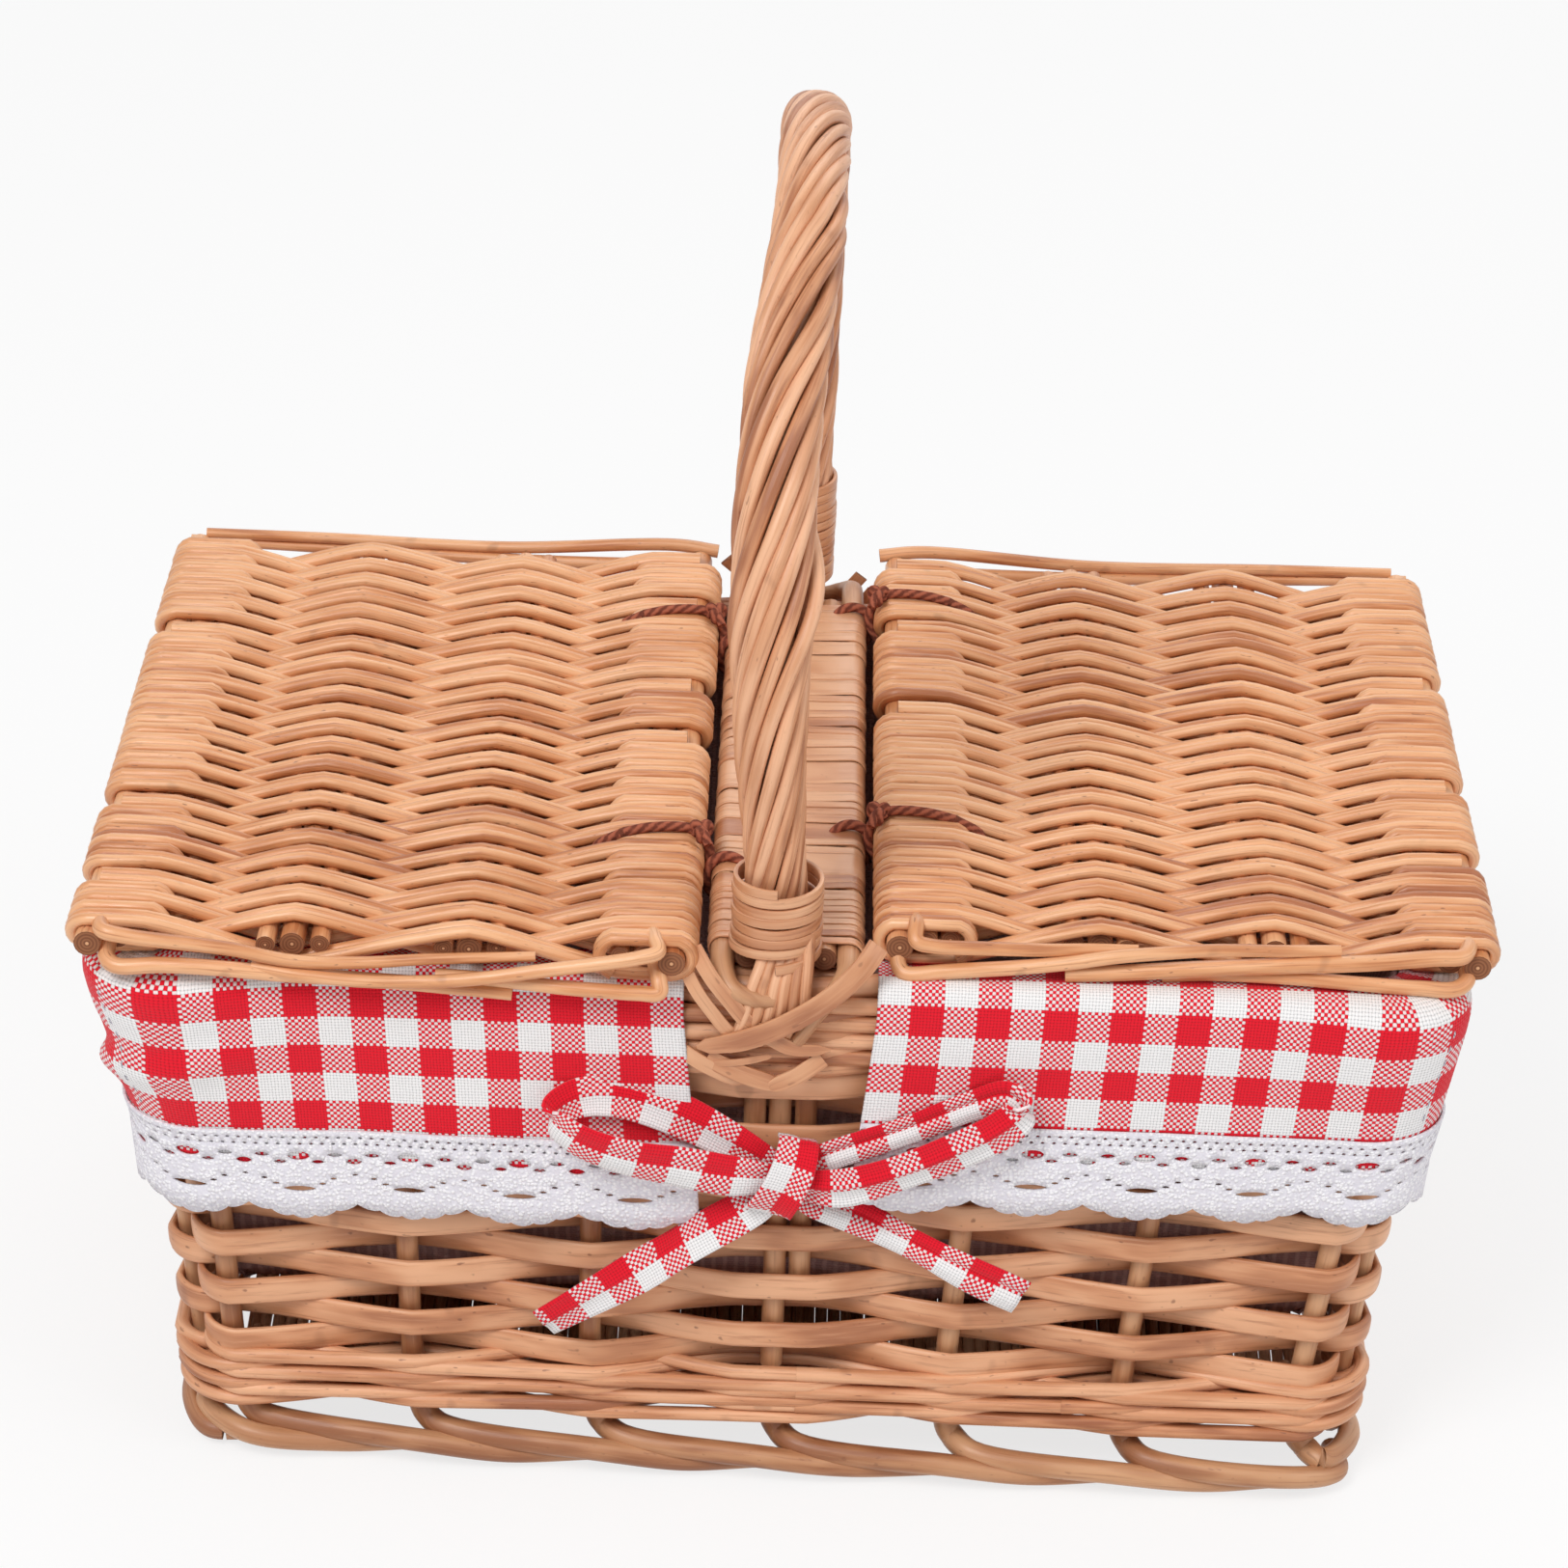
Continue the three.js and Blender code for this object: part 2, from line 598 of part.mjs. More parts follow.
// Bridge: two pairs of sticks wrapped crosswise with skein. The front collar stands on it.
const skeinOuter = bridgeStickRadius + gap + skeinThickness + skeinStep;
const bridgeZ = rimHeight + gap + bridgeStickRadius + bridgeLift;
const bridgeStickX = bridgeWidth / 2 - skeinOuter;
const bridgeWeaveEnd = legY - collarInner - collarThickness - gap;
const bridgeEnd = wallHalfSize(rimHeight).y + borderRadius;
function makeBridgeWeave(tools) {
  const inner = bridgeStickRadius + gap;
  const path = [];
  const arcSteps = 4;
  for (let i = 0; i <= arcSteps; i++) {
    const angle = -Math.PI / 2 + (Math.PI * i) / arcSteps;
    path.push(new THREE.Vector3(bridgeStickX + inner * Math.cos(angle), 0, bridgeZ + inner * Math.sin(angle)));
  }
  for (let i = 0; i <= arcSteps; i++) {
    const angle = Math.PI / 2 + (Math.PI * i) / arcSteps;
    path.push(new THREE.Vector3(-bridgeStickX + inner * Math.cos(angle), 0, bridgeZ + inner * Math.sin(angle)));
  }
  const pitch = (2 * bridgeWeaveEnd) / skeinStrips;
  const section = [[0, -bridgeWeaveEnd]];
  for (let i = 0; i < skeinStrips; i++) {
    const thickness = skeinThickness + (i % 2 === 0 ? 0 : skeinStep);
    const start = -bridgeWeaveEnd + i * pitch;
    section.push([-thickness, start + skeinGroove / 2], [-thickness, start + pitch - skeinGroove / 2]);
  }
  section.push([0, bridgeWeaveEnd]);
  return cut(sweep(path, section, { up: new THREE.Vector3(0, 1, 0), closed: true }), tools);
}
function makeBridgeSticks(side) {
  const spacing = 2 * bridgeStickRadius - stickPress;
  const outer = stickPair([{ x: side * bridgeStickX, radius: bridgeStickRadius }], -bridgeEnd, bridgeEnd);
  const innerX = side * (bridgeStickX - spacing);
  const inner = stickPair([{ x: innerX, radius: bridgeStickRadius }], -bridgeWeaveEnd, bridgeWeaveEnd);
  return join([outer, inner]).translate(0, 0, bridgeZ);
}

// Lids: each turns about an axis along Y in the gap beside the bridge.
const lidHalf = edgeStickRadius + gap + lidBand;
const lidZ = rimHeight + gap + cloth + gap + lidHalf;
const lidInner = bridgeWidth / 2 + lidGap;
const lidOuter = rimWidth / 2 + lidOverhang;
const lidStickEnd = lidDepth / 2 - 2 * endRodRadius - gap;
const lidWeaveEnd = lidDepth / 2 - lidWeaveInset;
const lidInnerStick = lidInner + lidHalf;
const lidOuterStick = lidOuter - lidHalf;
const pairSpacing = edgeStickRadius + lidStickRadius - stickPress;
const hingeX = bridgeWidth / 2 + lidGap / 2;
const hingeZ = lidZ + hingeRise;

// A lid lies to the right of the bridge; the left one is turned half round about Z.
const lidGroups = [0, 1, 2, 3].map((g) => {
  const at = lidInnerStick + pairSpacing / 2 + ((lidOuterStick - lidInnerStick - pairSpacing) * g) / 3;
  const isInner = g === 0;
  const isEdge = isInner || g === 3;
  return {
    at,
    edge: isInner ? lidInnerStick : lidOuterStick,
    inner: isInner ? lidInnerStick + pairSpacing + weaveEase : lidOuterStick - pairSpacing - weaveEase,
    half: lidStickRadius + weaveEase,
    radius: isEdge ? edgeStickRadius : lidStickRadius,
    sticks: isEdge
      ? [
          { x: isInner ? lidInnerStick : lidOuterStick, radius: edgeStickRadius },
          { x: isInner ? lidInnerStick + pairSpacing : lidOuterStick - pairSpacing, radius: lidStickRadius },
        ]
      : [
          { x: at - lidStickRadius + stickPress / 2, radius: lidStickRadius },
          { x: at + lidStickRadius - stickPress / 2, radius: lidStickRadius },
        ],
  };
});

// The cord loop round the lid's inner sticks, at a place along Y.
function lidLoop(y, extra) {
  const radius = lidHalf + gap + tieRadius;
  const points = [];
  const arcSteps = 4;
  for (let i = 0; i <= arcSteps; i++) {
    const angle = Math.PI / 2 + (Math.PI * i) / arcSteps;
    points.push(new THREE.Vector3(lidInnerStick + radius * Math.cos(angle), y, radius * Math.sin(angle)));
  }
  for (let i = 0; i <= arcSteps; i++) {
    const angle = -Math.PI / 2 + (Math.PI * i) / arcSteps;
    const x = lidInnerStick + tieReach - radius + radius * Math.cos(angle);
    points.push(new THREE.Vector3(x, y, radius * Math.sin(angle)));
  }
  return sweep(points, roundSection(tieRadius + extra, 5), { up: new THREE.Vector3(0, 1, 0), closed: true });
}

function bridgeLoop(y, extra) {
  const radius = skeinOuter + gap + tieRadius;
  const points = Array.from({ length: tieSegments }, (_, i) => {
    const angle = (2 * Math.PI * i) / tieSegments;
    return new THREE.Vector3(bridgeStickX + radius * Math.cos(angle), y, bridgeZ + radius * Math.sin(angle));
  });
  return sweep(points, roundSection(tieRadius + extra, 5), { up: new THREE.Vector3(0, 1, 0), closed: true });
}

// Rods laid across the sticks' ends, crossing one another.
function endRods(front) {
  const radius = front ? endRodRadius : backRodRadius;
  const y = (front ? -1 : 1) * (lidStickEnd + gap + radius);
  const steps = 4;
  const rods = [0, 1].map((which) => {
    const points = Array.from({ length: steps + 1 }, (_, i) => {
      const share = i / steps;
      const x = THREE.MathUtils.lerp(lidInner + radius, lidOuter - radius, share);
      const cross = (which === 0 ? 1 : -1) * Math.cos(Math.PI * (front ? 1 : 2) * share);
      return new THREE.Vector3(x, y, cross * radius * (front ? rodCross.front : rodCross.back));
    });
    return sweep(points, roundSection(radius, 5));
  });
  return join(rods);
}

function makeLid(side) {
  const turn = side === "left" ? Math.PI : 0;
  const facing = side === "left" ? -1 : 1;
  const lid = new THREE.Group();
  lid.position.set(facing * hingeX, 0, hingeZ);
  basket.add(lid);
  const addToLid = (name, geometry, material) => {
    geometry.rotateZ(turn).translate(-lid.position.x, 0, lidZ - hingeZ);
    lid.add(add(side + name, geometry, material));
  };
  const ties = { front: facing * frontTie[side], back: facing * backTie[side] };
  const weave = wovenPanel(lidGroups, lidRows, -lidWeaveEnd, lidWeaveEnd, lidBand);
  const room = Object.values(ties).map((y) => lidLoop(y, gap));
  addToLid("_lid_weave", cut(weave, room), willow);
  lidGroups.forEach((group, g) => {
    addToLid("_lid_sticks_" + (g + 1), stickPair(group.sticks, -lidStickEnd, lidStickEnd), willow);
  });
  for (const end of ["front", "back"]) {
    const rods = endRods(end === "front");
    addToLid("_lid_" + end + "_rods", side === "left" ? mirroredFrontToBack(rods) : rods, willow);
  }
  for (const [end, y] of Object.entries(ties)) {
    const knot = new THREE.SphereGeometry(knotRadius, 7, 5);
    knot.translate(hingeX + knotOffset.x, y, lidHalf + knotOffset.z);
    addToLid("_lid_tie_" + end, join([lidLoop(y, 0), knot]), cord);
  }
}

// Mirrors a geometry and turns its faces to point out again.
function mirroredFrontToBack(geometry) {
  geometry.scale(1, -1, 1);
  const index = geometry.index.array;
  for (let i = 0; i < index.length; i += 3) [index[i + 1], index[i + 2]] = [index[i + 2], index[i + 1]];
  return geometry;
}

const bridgeTies = [];
for (const side of ["left", "right"]) {
  const facing = side === "left" ? -1 : 1;
  for (const [end, y] of [
    ["front", frontTie[side]],
    ["back", backTie[side]],
  ]) {
    const local = facing * y + 2 * tieRadius + 2 * gap;
    const turn = side === "left" ? Math.PI : 0;
    bridgeTies.push({ name: side + "_bridge_tie_" + end, local, turn });
  }
}
const tieRoom = bridgeTies.map(({ local, turn }) => bridgeLoop(local, gap).rotateZ(turn));
const collarZ = bridgeZ + bridgeStickRadius + gap;
add("front_collar", makeCollar(0.02, collarZ, collarHeight), skein);
add("back_collar", makeCollar(0.96, collarZ + backCollarLift, backCollarHeight), skein);
add("bridge_weave", makeBridgeWeave(tieRoom), skein);
add("bridge_sticks_left", cut(makeBridgeSticks(-1), tieRoom), willow);
add("bridge_sticks_right", cut(makeBridgeSticks(1), tieRoom), willow);
for (const { name, local, turn } of bridgeTies) add(name, bridgeLoop(local, 0).rotateZ(turn), cord);
makeLid("left");
makeLid("right");

// Liner bag: a thin open-topped bag just inside the wall.
function makeLiner() {
  const outer = -(waleSwing + waleRadius + gap);
  const top = rimHeight - borderHeight;
  const rings = [
    wallRing(linerBottom, outer - linerRound.inset),
    wallRing(linerBottom + linerRound.rise, outer),
    wallRing(top, outer),
    wallRing(rimHeight, -borderHalf - gap),
    wallRing(rimHeight, -borderHalf - gap - cloth),
    wallRing(top, outer - cloth),
    wallRing(linerBottom + linerRound.rise, outer - cloth),
    wallRing(linerBottom + cloth, outer - cloth - linerRound.inset),
  ];
  const corners = rings.flat();
  const sides = rings[0].length;
  const triangles = [];
  for (let r = 0; r < rings.length - 1; r++) {
    for (let j = 0; j < sides; j++) {
      const a = r * sides + j;
      const b = r * sides + ((j + 1) % sides);
      triangles.push([a, b, b + sides], [a, b + sides, a + sides]);
    }
  }
  const floor = (rings.length - 1) * sides;
  for (let j = 1; j < sides - 1; j++) triangles.push([0, j + 1, j], [floor, floor + j, floor + j + 1]);
  return closedGeometry(corners, triangles);
}
add("liner_bag", makeLiner(), linerCloth);

// Places round one half of the wall, from the front edge beside the bridge to the back one.
function halfPlaces(side) {
  const quarter = Math.PI / 2;
  const facing = side === "left" ? -1 : 1;
  const start = (z) => flapStart[side] / (wallHalfSize(z).x - cornerRadius);
  const places = [];
  const steps = 4;
  for (let i = 0; i <= steps; i++) {
    places.push({ base: 0, share: (z) => facing * THREE.MathUtils.lerp(start(z), 1, i / steps), turn: 0 });
  }
  places.push({ base: 0, share: () => facing, turn: (facing * quarter) / 2 });
  for (let i = 0; i <= steps; i++) {
    places.push({ base: facing * quarter, share: () => facing * (-1 + (2 * i) / steps), turn: 0 });
  }
  places.push({ base: facing * quarter, share: () => facing, turn: (facing * quarter) / 2 });
  for (let i = 0; i <= steps; i++) {
    const share = (z) => facing * THREE.MathUtils.lerp(-1, -start(z), i / steps);
    places.push({ base: 2 * quarter, share, turn: 0 });
  }
  return places;
}
function clothPoint(place, z, offset) {
  return wallPoint({ facing: place.base, share: place.share(z), turn: place.turn }, z, offset);
}
const clothOut = waleSwing + waleRadius + 3 * gap + cloth / 2;
function fold(side, i, share) {
  return (share * foldDepth[side] * (1 - Math.cos(foldTurn * i))) / 2;
}
function makeFlap(side) {
  const top = rimHeight + gap + cloth / 2;
  const grid = halfPlaces(side).map((place, i) => {
    const bottom = flapBottom[side];
    const shoulder = rimHeight - borderHeight;
    return [
      clothPoint(place, top, -borderHalf),
      clothPoint(place, top, borderHalf + cloth / 2),
      clothPoint(place, rimHeight - borderRadius, clothOut),
      clothPoint(place, (shoulder + bottom) / 2, clothOut + fold(side, i, 1 / 2)),
      clothPoint(place, bottom, clothOut + fold(side, i, 1)),
    ];
  });
  return sheet(grid, cloth);
}
function makeLace(side) {
  const grid = halfPlaces(side).map((place, i) => {
    const top = flapBottom[side] - gap;
    const drop = laceDrop - scallopDepth * (i % 2);
    return [
      clothPoint(place, top, clothOut + fold(side, i, 1)),
      clothPoint(place, top - drop / 2, clothOut + fold(side, i, 1)),
      clothPoint(place, top - drop, clothOut - laceTuck + fold(side, i, 1)),
    ];
  });
  return sheet(grid, laceThickness);
}
for (const side of ["left", "right"]) {
  add(side + "_flap", makeFlap(side), gingham);
  add(side + "_lace", makeLace(side), laceWhite);
}

// Bow: two flat loops and two tails from one knot, tying the flaps' corners together.
function makeBow() {
  const knot = new THREE.Vector3(bowKnot.x, 0, bowKnot.z);
  const section = flatSection(ribbonThickness, ribbonWidth);
  const lump = new THREE.SphereGeometry(bowKnotRadius, 8, 6).scale(0.9, 0.48, 1);
  const pieces = [lump.translate(knot.x, knot.y, knot.z)];
  const layer = bowDepth / 2 - ribbonThickness;
  const strip = (end, sag, stops) => {
    const along = new THREE.Vector3(end.x - knot.x, 0, end.z - knot.z);
    const path = stops.map(([share, y]) => {
      const point = knot.clone().addScaledVector(along, share);
      return point.setY(y).setZ(point.z - sag * Math.sin(Math.PI * share));
    });
    return sweep(path, section, { up: new THREE.Vector3(-along.z, 0, along.x).normalize() });
  };
  const outwards = [[0, 0], [0.35, -layer], [0.75, -layer], [0.97, -0.7 * layer], [1, 0]];
  const back = [[0.97, 0.7 * layer], [0.75, layer], [0.35, layer], [0, loopPass]];
  for (const end of Object.values(bowLoops)) pieces.push(strip(end, loopSag, [...outwards, ...back]));
  const tailStops = [[0, 0], [0.3, -0.5 * layer], [0.65, -0.2 * layer], [1, 0]];
  for (const end of Object.values(bowTails)) pieces.push(strip(end, 0, tailStops));
  return join(pieces);
}
const bowY = wallHalfSize(flapBottom.right).y + clothOut + bowStand + cloth / 2 + bowDepth / 2;
add("front_bow", makeBow().translate(0, -bowY, 0), gingham);
add("back_bow", makeBow().rotateZ(Math.PI).translate(0, bowY, 0), gingham);

export default basket;
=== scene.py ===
"""Looks of a lidded willow picnic basket: woven wall, lids and handle, liner, gingham, lace and bows."""

from __future__ import annotations

import logging
import math
from dataclasses import dataclass
from enum import Enum

import bmesh
import bpy
import numpy as np
from mathutils import Matrix, Vector
from mathutils.geometry import delaunay_2d_cdt

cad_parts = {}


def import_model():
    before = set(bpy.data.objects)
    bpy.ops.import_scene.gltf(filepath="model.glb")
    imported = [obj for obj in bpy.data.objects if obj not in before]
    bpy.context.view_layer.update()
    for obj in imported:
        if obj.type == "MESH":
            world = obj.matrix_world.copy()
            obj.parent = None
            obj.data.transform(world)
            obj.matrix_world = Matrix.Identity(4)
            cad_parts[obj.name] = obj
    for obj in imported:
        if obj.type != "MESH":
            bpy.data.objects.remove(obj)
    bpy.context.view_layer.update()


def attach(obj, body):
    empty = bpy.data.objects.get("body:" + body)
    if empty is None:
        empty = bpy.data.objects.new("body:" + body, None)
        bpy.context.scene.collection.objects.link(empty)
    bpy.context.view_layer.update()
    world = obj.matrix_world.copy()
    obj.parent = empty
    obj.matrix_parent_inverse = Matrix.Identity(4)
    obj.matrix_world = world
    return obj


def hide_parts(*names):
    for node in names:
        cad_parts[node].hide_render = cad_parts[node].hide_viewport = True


LOG = logging.getLogger("basket")
MM = 0.001
BASKET = "basket"
ENDS = ("front", "back")
X_AXIS, Y_AXIS, Z_AXIS = np.eye(3)

Array = np.ndarray
Pair = tuple[float, float]
Triple = tuple[float, float, float]
Piece = bpy.types.Object
Socket = bpy.types.NodeSocket


class Side(Enum):
    """The lid or flap to the left or to the right of the bridge."""

    LEFT = -1
    RIGHT = 1

    @property
    def word(self) -> str:
        """The side's name as the pieces spell it."""
        return self.name.lower()

    @property
    def lid(self) -> str:
        """The moving body of the lid on this side."""
        return self.word + "_lid"


class Section(Enum):
    """How square a swept section is: 1 is round or oval, less is a flat strip with rounded edges."""

    ROUND = 1.0
    SPLIT = 0.72
    STRIP = 0.35


class Look(Enum):
    """A finish, and the record's material slot that it shows."""

    WALL = ("willow", "willow")
    LID = ("lid_willow", "willow")
    HANDLE = ("handle_willow", "willow")
    CORE = ("pale_willow", "willow")
    STAKE = ("pale_willow", "pale_willow")
    SKEIN = ("skein", "skein")
    CORD = ("cord", "cord")
    GINGHAM = ("gingham", "gingham")
    LACE = ("lace", "lace")
    THREAD = ("seam_thread", "lace")
    LINER = ("liner_cloth", "liner_cloth")

    @property
    def finish(self) -> str:
        """The finish's name."""
        return self.value[0]

    @property
    def slot(self) -> str:
        """The slot's name."""
        return self.value[1]


def srgb(*colour: float) -> tuple[float, float, float, float]:
    """Turns red, green and blue from 0 to 255, as a screen shows them, into Blender's linear colour."""
    parts = [c / 255 for c in colour]
    return (*(c / 12.92 if c <= 0.04045 else ((c + 0.055) / 1.055) ** 2.4 for c in parts), 1.0)


def wander(count: int, knots: int, rng: np.random.Generator) -> Array:
    """A smooth random line between -1 and 1.

    Args:
        count: How many values the line has.
        knots: How many random values it passes through.
        rng: The random source.

    Returns:
        The line's values.
    """
    values = rng.uniform(-1, 1, knots + 3)
    place = np.linspace(0, knots, count)
    step = np.minimum(place.astype(int), knots - 1)
    share = place - step
    ease = share * share * (3 - 2 * share)
    return values[step] * (1 - ease) + values[step + 1] * ease


def unit(vectors: Array) -> Array:
    """Scales vectors to a length of 1."""
    return vectors / (np.linalg.norm(vectors, axis=-1, keepdims=True) + 1e-12)


def way_along(points: Array) -> Array:
    """The distance along a line at each of its points."""
    return np.concatenate([[0.0], np.cumsum(np.linalg.norm(np.diff(points, axis=0), axis=1))])


def square_to(points: Array, up: Array | None, closed: bool) -> Array:
    """Turns a wished direction square to a line at each of its points.

    Args:
        points: The line.
        up: One direction, one for each point, or None for one that turns as little as it can.
        closed: Whether the line's end joins its start.

    Returns:
        A unit direction for each point.
    """
    along = np.gradient(points, axis=0)
    if closed:
        along = np.roll(points, -1, axis=0) - np.roll(points, 1, axis=0)
    along = unit(along)
    if up is not None:
        wished = np.broadcast_to(up, points.shape)
        return unit(wished - along * np.sum(wished * along, axis=1)[:, None])
    out = np.empty_like(points)
    here = np.eye(3)[np.argmin(np.abs(along[0]))]
    for i, direction in enumerate(along):
        here = unit(here - direction * (here @ direction))
        out[i] = here
    return out


def smooth(points: Array | list, steps: int) -> Array:
    """A smooth line through given points.

    Args:
        points: The points, in order.
        steps: How many pieces each stretch between two points gets.

    Returns:
        The line's points.
    """
    given = np.asarray(points, float)
    ends = np.vstack([2 * given[0] - given[1], given, 2 * given[-1] - given[-2]])
    knots = np.concatenate([[0.0], np.cumsum(np.sqrt(np.linalg.norm(np.diff(ends, axis=0), axis=1)) + 1e-9)])
    out = []
    for i in range(1, len(ends) - 2):
        t0, t1, t2, t3 = knots[i - 1 : i + 3]
        p0, p1, p2, p3 = ends[i - 1 : i + 3]
        t = np.linspace(t1, t2, steps + 1)[: None if i == len(ends) - 3 else -1, None]
        a1 = ((t1 - t) * p0 + (t - t0) * p1) / (t1 - t0)
        a2 = ((t2 - t) * p1 + (t - t1) * p2) / (t2 - t1)
        a3 = ((t3 - t) * p2 + (t - t2) * p3) / (t3 - t2)
        b1 = ((t2 - t) * a1 + (t - t0) * a2) / (t2 - t0)
        b2 = ((t3 - t) * a2 + (t - t1) * a3) / (t3 - t1)
        out.append(((t2 - t) * b1 + (t - t1) * b2) / (t2 - t1))
    return np.vstack(out)


@dataclass
class Rod:
    """One rod, strip or cord, in millimetres: the line it follows, its scale, its stand and its tone."""

    points: Array
    scale: Array | float = 1.0
    up: Array | None = None
    tone: float = 0.5
    closed: bool = False


class NodeTools:
    """Short ways to place and link nodes in one tree."""

    def __init__(self, tree: bpy.types.NodeTree) -> None:
        """Keeps the tree that the nodes go into."""
        self.tree = tree

    def feed(self, node: bpy.types.Node, inputs: dict) -> bpy.types.Node:
        """Sets or links a node's inputs.

        Args:
            node: The node.
            inputs: Values or other nodes' outputs, by the input's name or number.

        Returns:
            The node.
        """
        for name, value in inputs.items():
            if isinstance(value, Socket):
                self.tree.links.new(value, node.inputs[name])
            else:
                node.inputs[name].default_value = value
        return node

    def node(self, kind: str, inputs: dict | None = None, **settings: object) -> bpy.types.Node:
        """Adds a node.

        Args:
            kind: The node's type.
            inputs: What its inputs get, by their name or number.
            settings: Properties of the node.

        Returns:
            The new node.
        """
        made = self.tree.nodes.new(kind)
        for name, value in settings.items():
            setattr(made, name, value)
        return self.feed(made, inputs or {})

    def math(self, operation: str, *values: object) -> Socket:
        """Adds a Math node and returns its value."""
        return self.node("ShaderNodeMath", dict(enumerate(values)), operation=operation).outputs[0]

    def times(self, *values: object) -> Socket:
        """Multiplies two values and adds a third one, if it is given."""
        return self.math("MULTIPLY_ADD" if len(values) > 2 else "MULTIPLY", *values)

    def vector(self, operation: str, inputs: dict) -> bpy.types.Node:
        """Adds a Vector Math node."""
        return self.node("ShaderNodeVectorMath", inputs, operation=operation)

    def mix(self, share: object, first: object, second: object, blend: str = "MIX") -> Socket:
        """Adds a colour Mix node and returns its colour."""
        inputs = {0: share, 6: first, 7: second}
        return self.node("ShaderNodeMix", inputs, data_type="RGBA", blend_type=blend).outputs[2]

    def ramp(self, value: Socket, low: float, high: float) -> Socket:
        """Smoothly steps from 0 at low to 1 at high."""
        inputs = {0: value, 1: low, 2: high}
        return self.node("ShaderNodeMapRange", inputs, interpolation_type="SMOOTHSTEP").outputs[0]

    def attribute(self, name: str, output: str = "Fac") -> Socket:
        """Reads one of a rod's attributes."""
        return self.node("ShaderNodeAttribute", attribute_name="rod_" + name).outputs[output]

    def split(self, value: Socket) -> bpy.types.bpy_prop_collection:
        """The three parts of a vector."""
        return self.node("ShaderNodeSeparateXYZ", {0: value}).outputs


def shader_group(
    name: str, inputs: dict[str, tuple[str, object]], outputs: dict[str, str]
) -> bpy.types.NodeTree:
    """Makes an empty shader node group with named sockets.

    Args:
        name: The group's name.
        inputs: Socket names with their type, Float, Color or Vector, and value.
        outputs: Socket names with their type.

    Returns:
        The group, holding only its input and output nodes.
    """
    group = bpy.data.node_groups.new(name, "ShaderNodeTree")
    for title, (kind, value) in inputs.items():
        socket = group.interface.new_socket(title, in_out="INPUT", socket_type="NodeSocket" + kind)
        socket.default_value = value
    for title, kind in outputs.items():
        group.interface.new_socket(title, in_out="OUTPUT", socket_type="NodeSocket" + kind)
    group.nodes.new("NodeGroupInput")
    group.nodes.new("NodeGroupOutput")
    return group


class SweepTree:
    """The Geometry Nodes tree that gives every rod, strip and cord its body."""

    sizes = {"Across": "Float", "Up": "Float", "Squareness": "Float", "Sides": "Int", "Material": "Material"}
    crisp_angle = math.radians(50)

    def __init__(self) -> None:
        """Builds the tree once and keeps the identifiers of its inputs."""
        self.tree = bpy.data.node_groups.new("Sweep rods", "GeometryNodeTree")
        make = self.tree.interface.new_socket
        make("Geometry", in_out="INPUT", socket_type="NodeSocketGeometry")
        self.inputs = [
            make(title, in_out="INPUT", socket_type="NodeSocket" + kind).identifier
            for title, kind in self.sizes.items()
        ]
        make("Geometry", in_out="OUTPUT", socket_type="NodeSocketGeometry")
        self._fill(NodeTools(self.tree))

    def _fill(self, t: NodeTools) -> None:
        """Places the nodes: a squared circle, swept along the curve with the attributes of its points.

        Args:
            t: The tools for the tree.
        """

        def attribute(name: str, kind: str) -> Socket:
            """Reads one of the points' attributes."""
            return t.node("GeometryNodeInputNamedAttribute", {"Name": name}, data_type=kind).outputs[0]

        ends = t.node("NodeGroupInput").outputs
        circle = t.node("GeometryNodeCurvePrimitiveCircle", {"Resolution": ends["Sides"], "Radius": 1.0})
        place = t.node("GeometryNodeInputPosition").outputs[0]
        inputs = {"Geometry": circle.outputs[0], "Name": "rod_section", "Value": place}
        kept = t.node("GeometryNodeStoreNamedAttribute", inputs, data_type="FLOAT_VECTOR")
        corner = t.split(place)
        sizes = []
        for axis, size in (("X", ends["Up"]), ("Y", ends["Across"])):
            power = t.math("POWER", t.math("ABSOLUTE", corner[axis]), ends["Squareness"])
            sizes.append(t.times(t.times(t.math("SIGN", corner[axis]), power), size))
        place = t.node("ShaderNodeCombineXYZ", {0: sizes[0], 1: sizes[1]}).outputs[0]
        moved = {"Geometry": kept.outputs[0], "Position": place}
        section = t.node("GeometryNodeSetPosition", moved).outputs[0]
        line = t.node("GeometryNodeMeshToCurve", {"Mesh": ends["Geometry"]}).outputs[0]
        stand = {"Curve": line, "Normal": attribute("rod_up", "FLOAT_VECTOR")}
        stood = t.node("GeometryNodeSetCurveNormal", stand, mode="FREE").outputs[0]
        sweep = {"Curve": stood, "Profile Curve": section, "Scale": attribute("rod_radius", "FLOAT")}
        body = t.node("GeometryNodeCurveToMesh", {**sweep, "Fill Caps": True}).outputs[0]
        soft = t.node("GeometryNodeSetShadeSmooth", {0: body}, domain="FACE").outputs[0]
        flat = t.math("LESS_THAN", t.node("GeometryNodeInputMeshEdgeAngle").outputs[0], self.crisp_angle)
        shade = {0: soft, "Shade Smooth": flat}
        crisp = t.node("GeometryNodeSetShadeSmooth", shade, domain="EDGE").outputs[0]
        whole = t.node("GeometryNodeRealizeInstances", {0: crisp}).outputs[0]
        coated = t.node("GeometryNodeSetMaterial", {0: whole, "Material": ends["Material"]}).outputs[0]
        t.node("NodeGroupOutput", {0: coated})


def add_object(name: str, data: bpy.types.ID) -> bpy.types.Object:
    """Makes an object of a mesh, a camera or a lamp and links it to the scene."""
    made = bpy.data.objects.new(name, data)
    bpy.context.scene.collection.objects.link(made)
    return made


def remove_object(mesh_object: Piece) -> None:
    """Removes a mesh object with its mesh."""
    old = mesh_object.data
    bpy.data.objects.remove(mesh_object)
    bpy.data.meshes.remove(old)


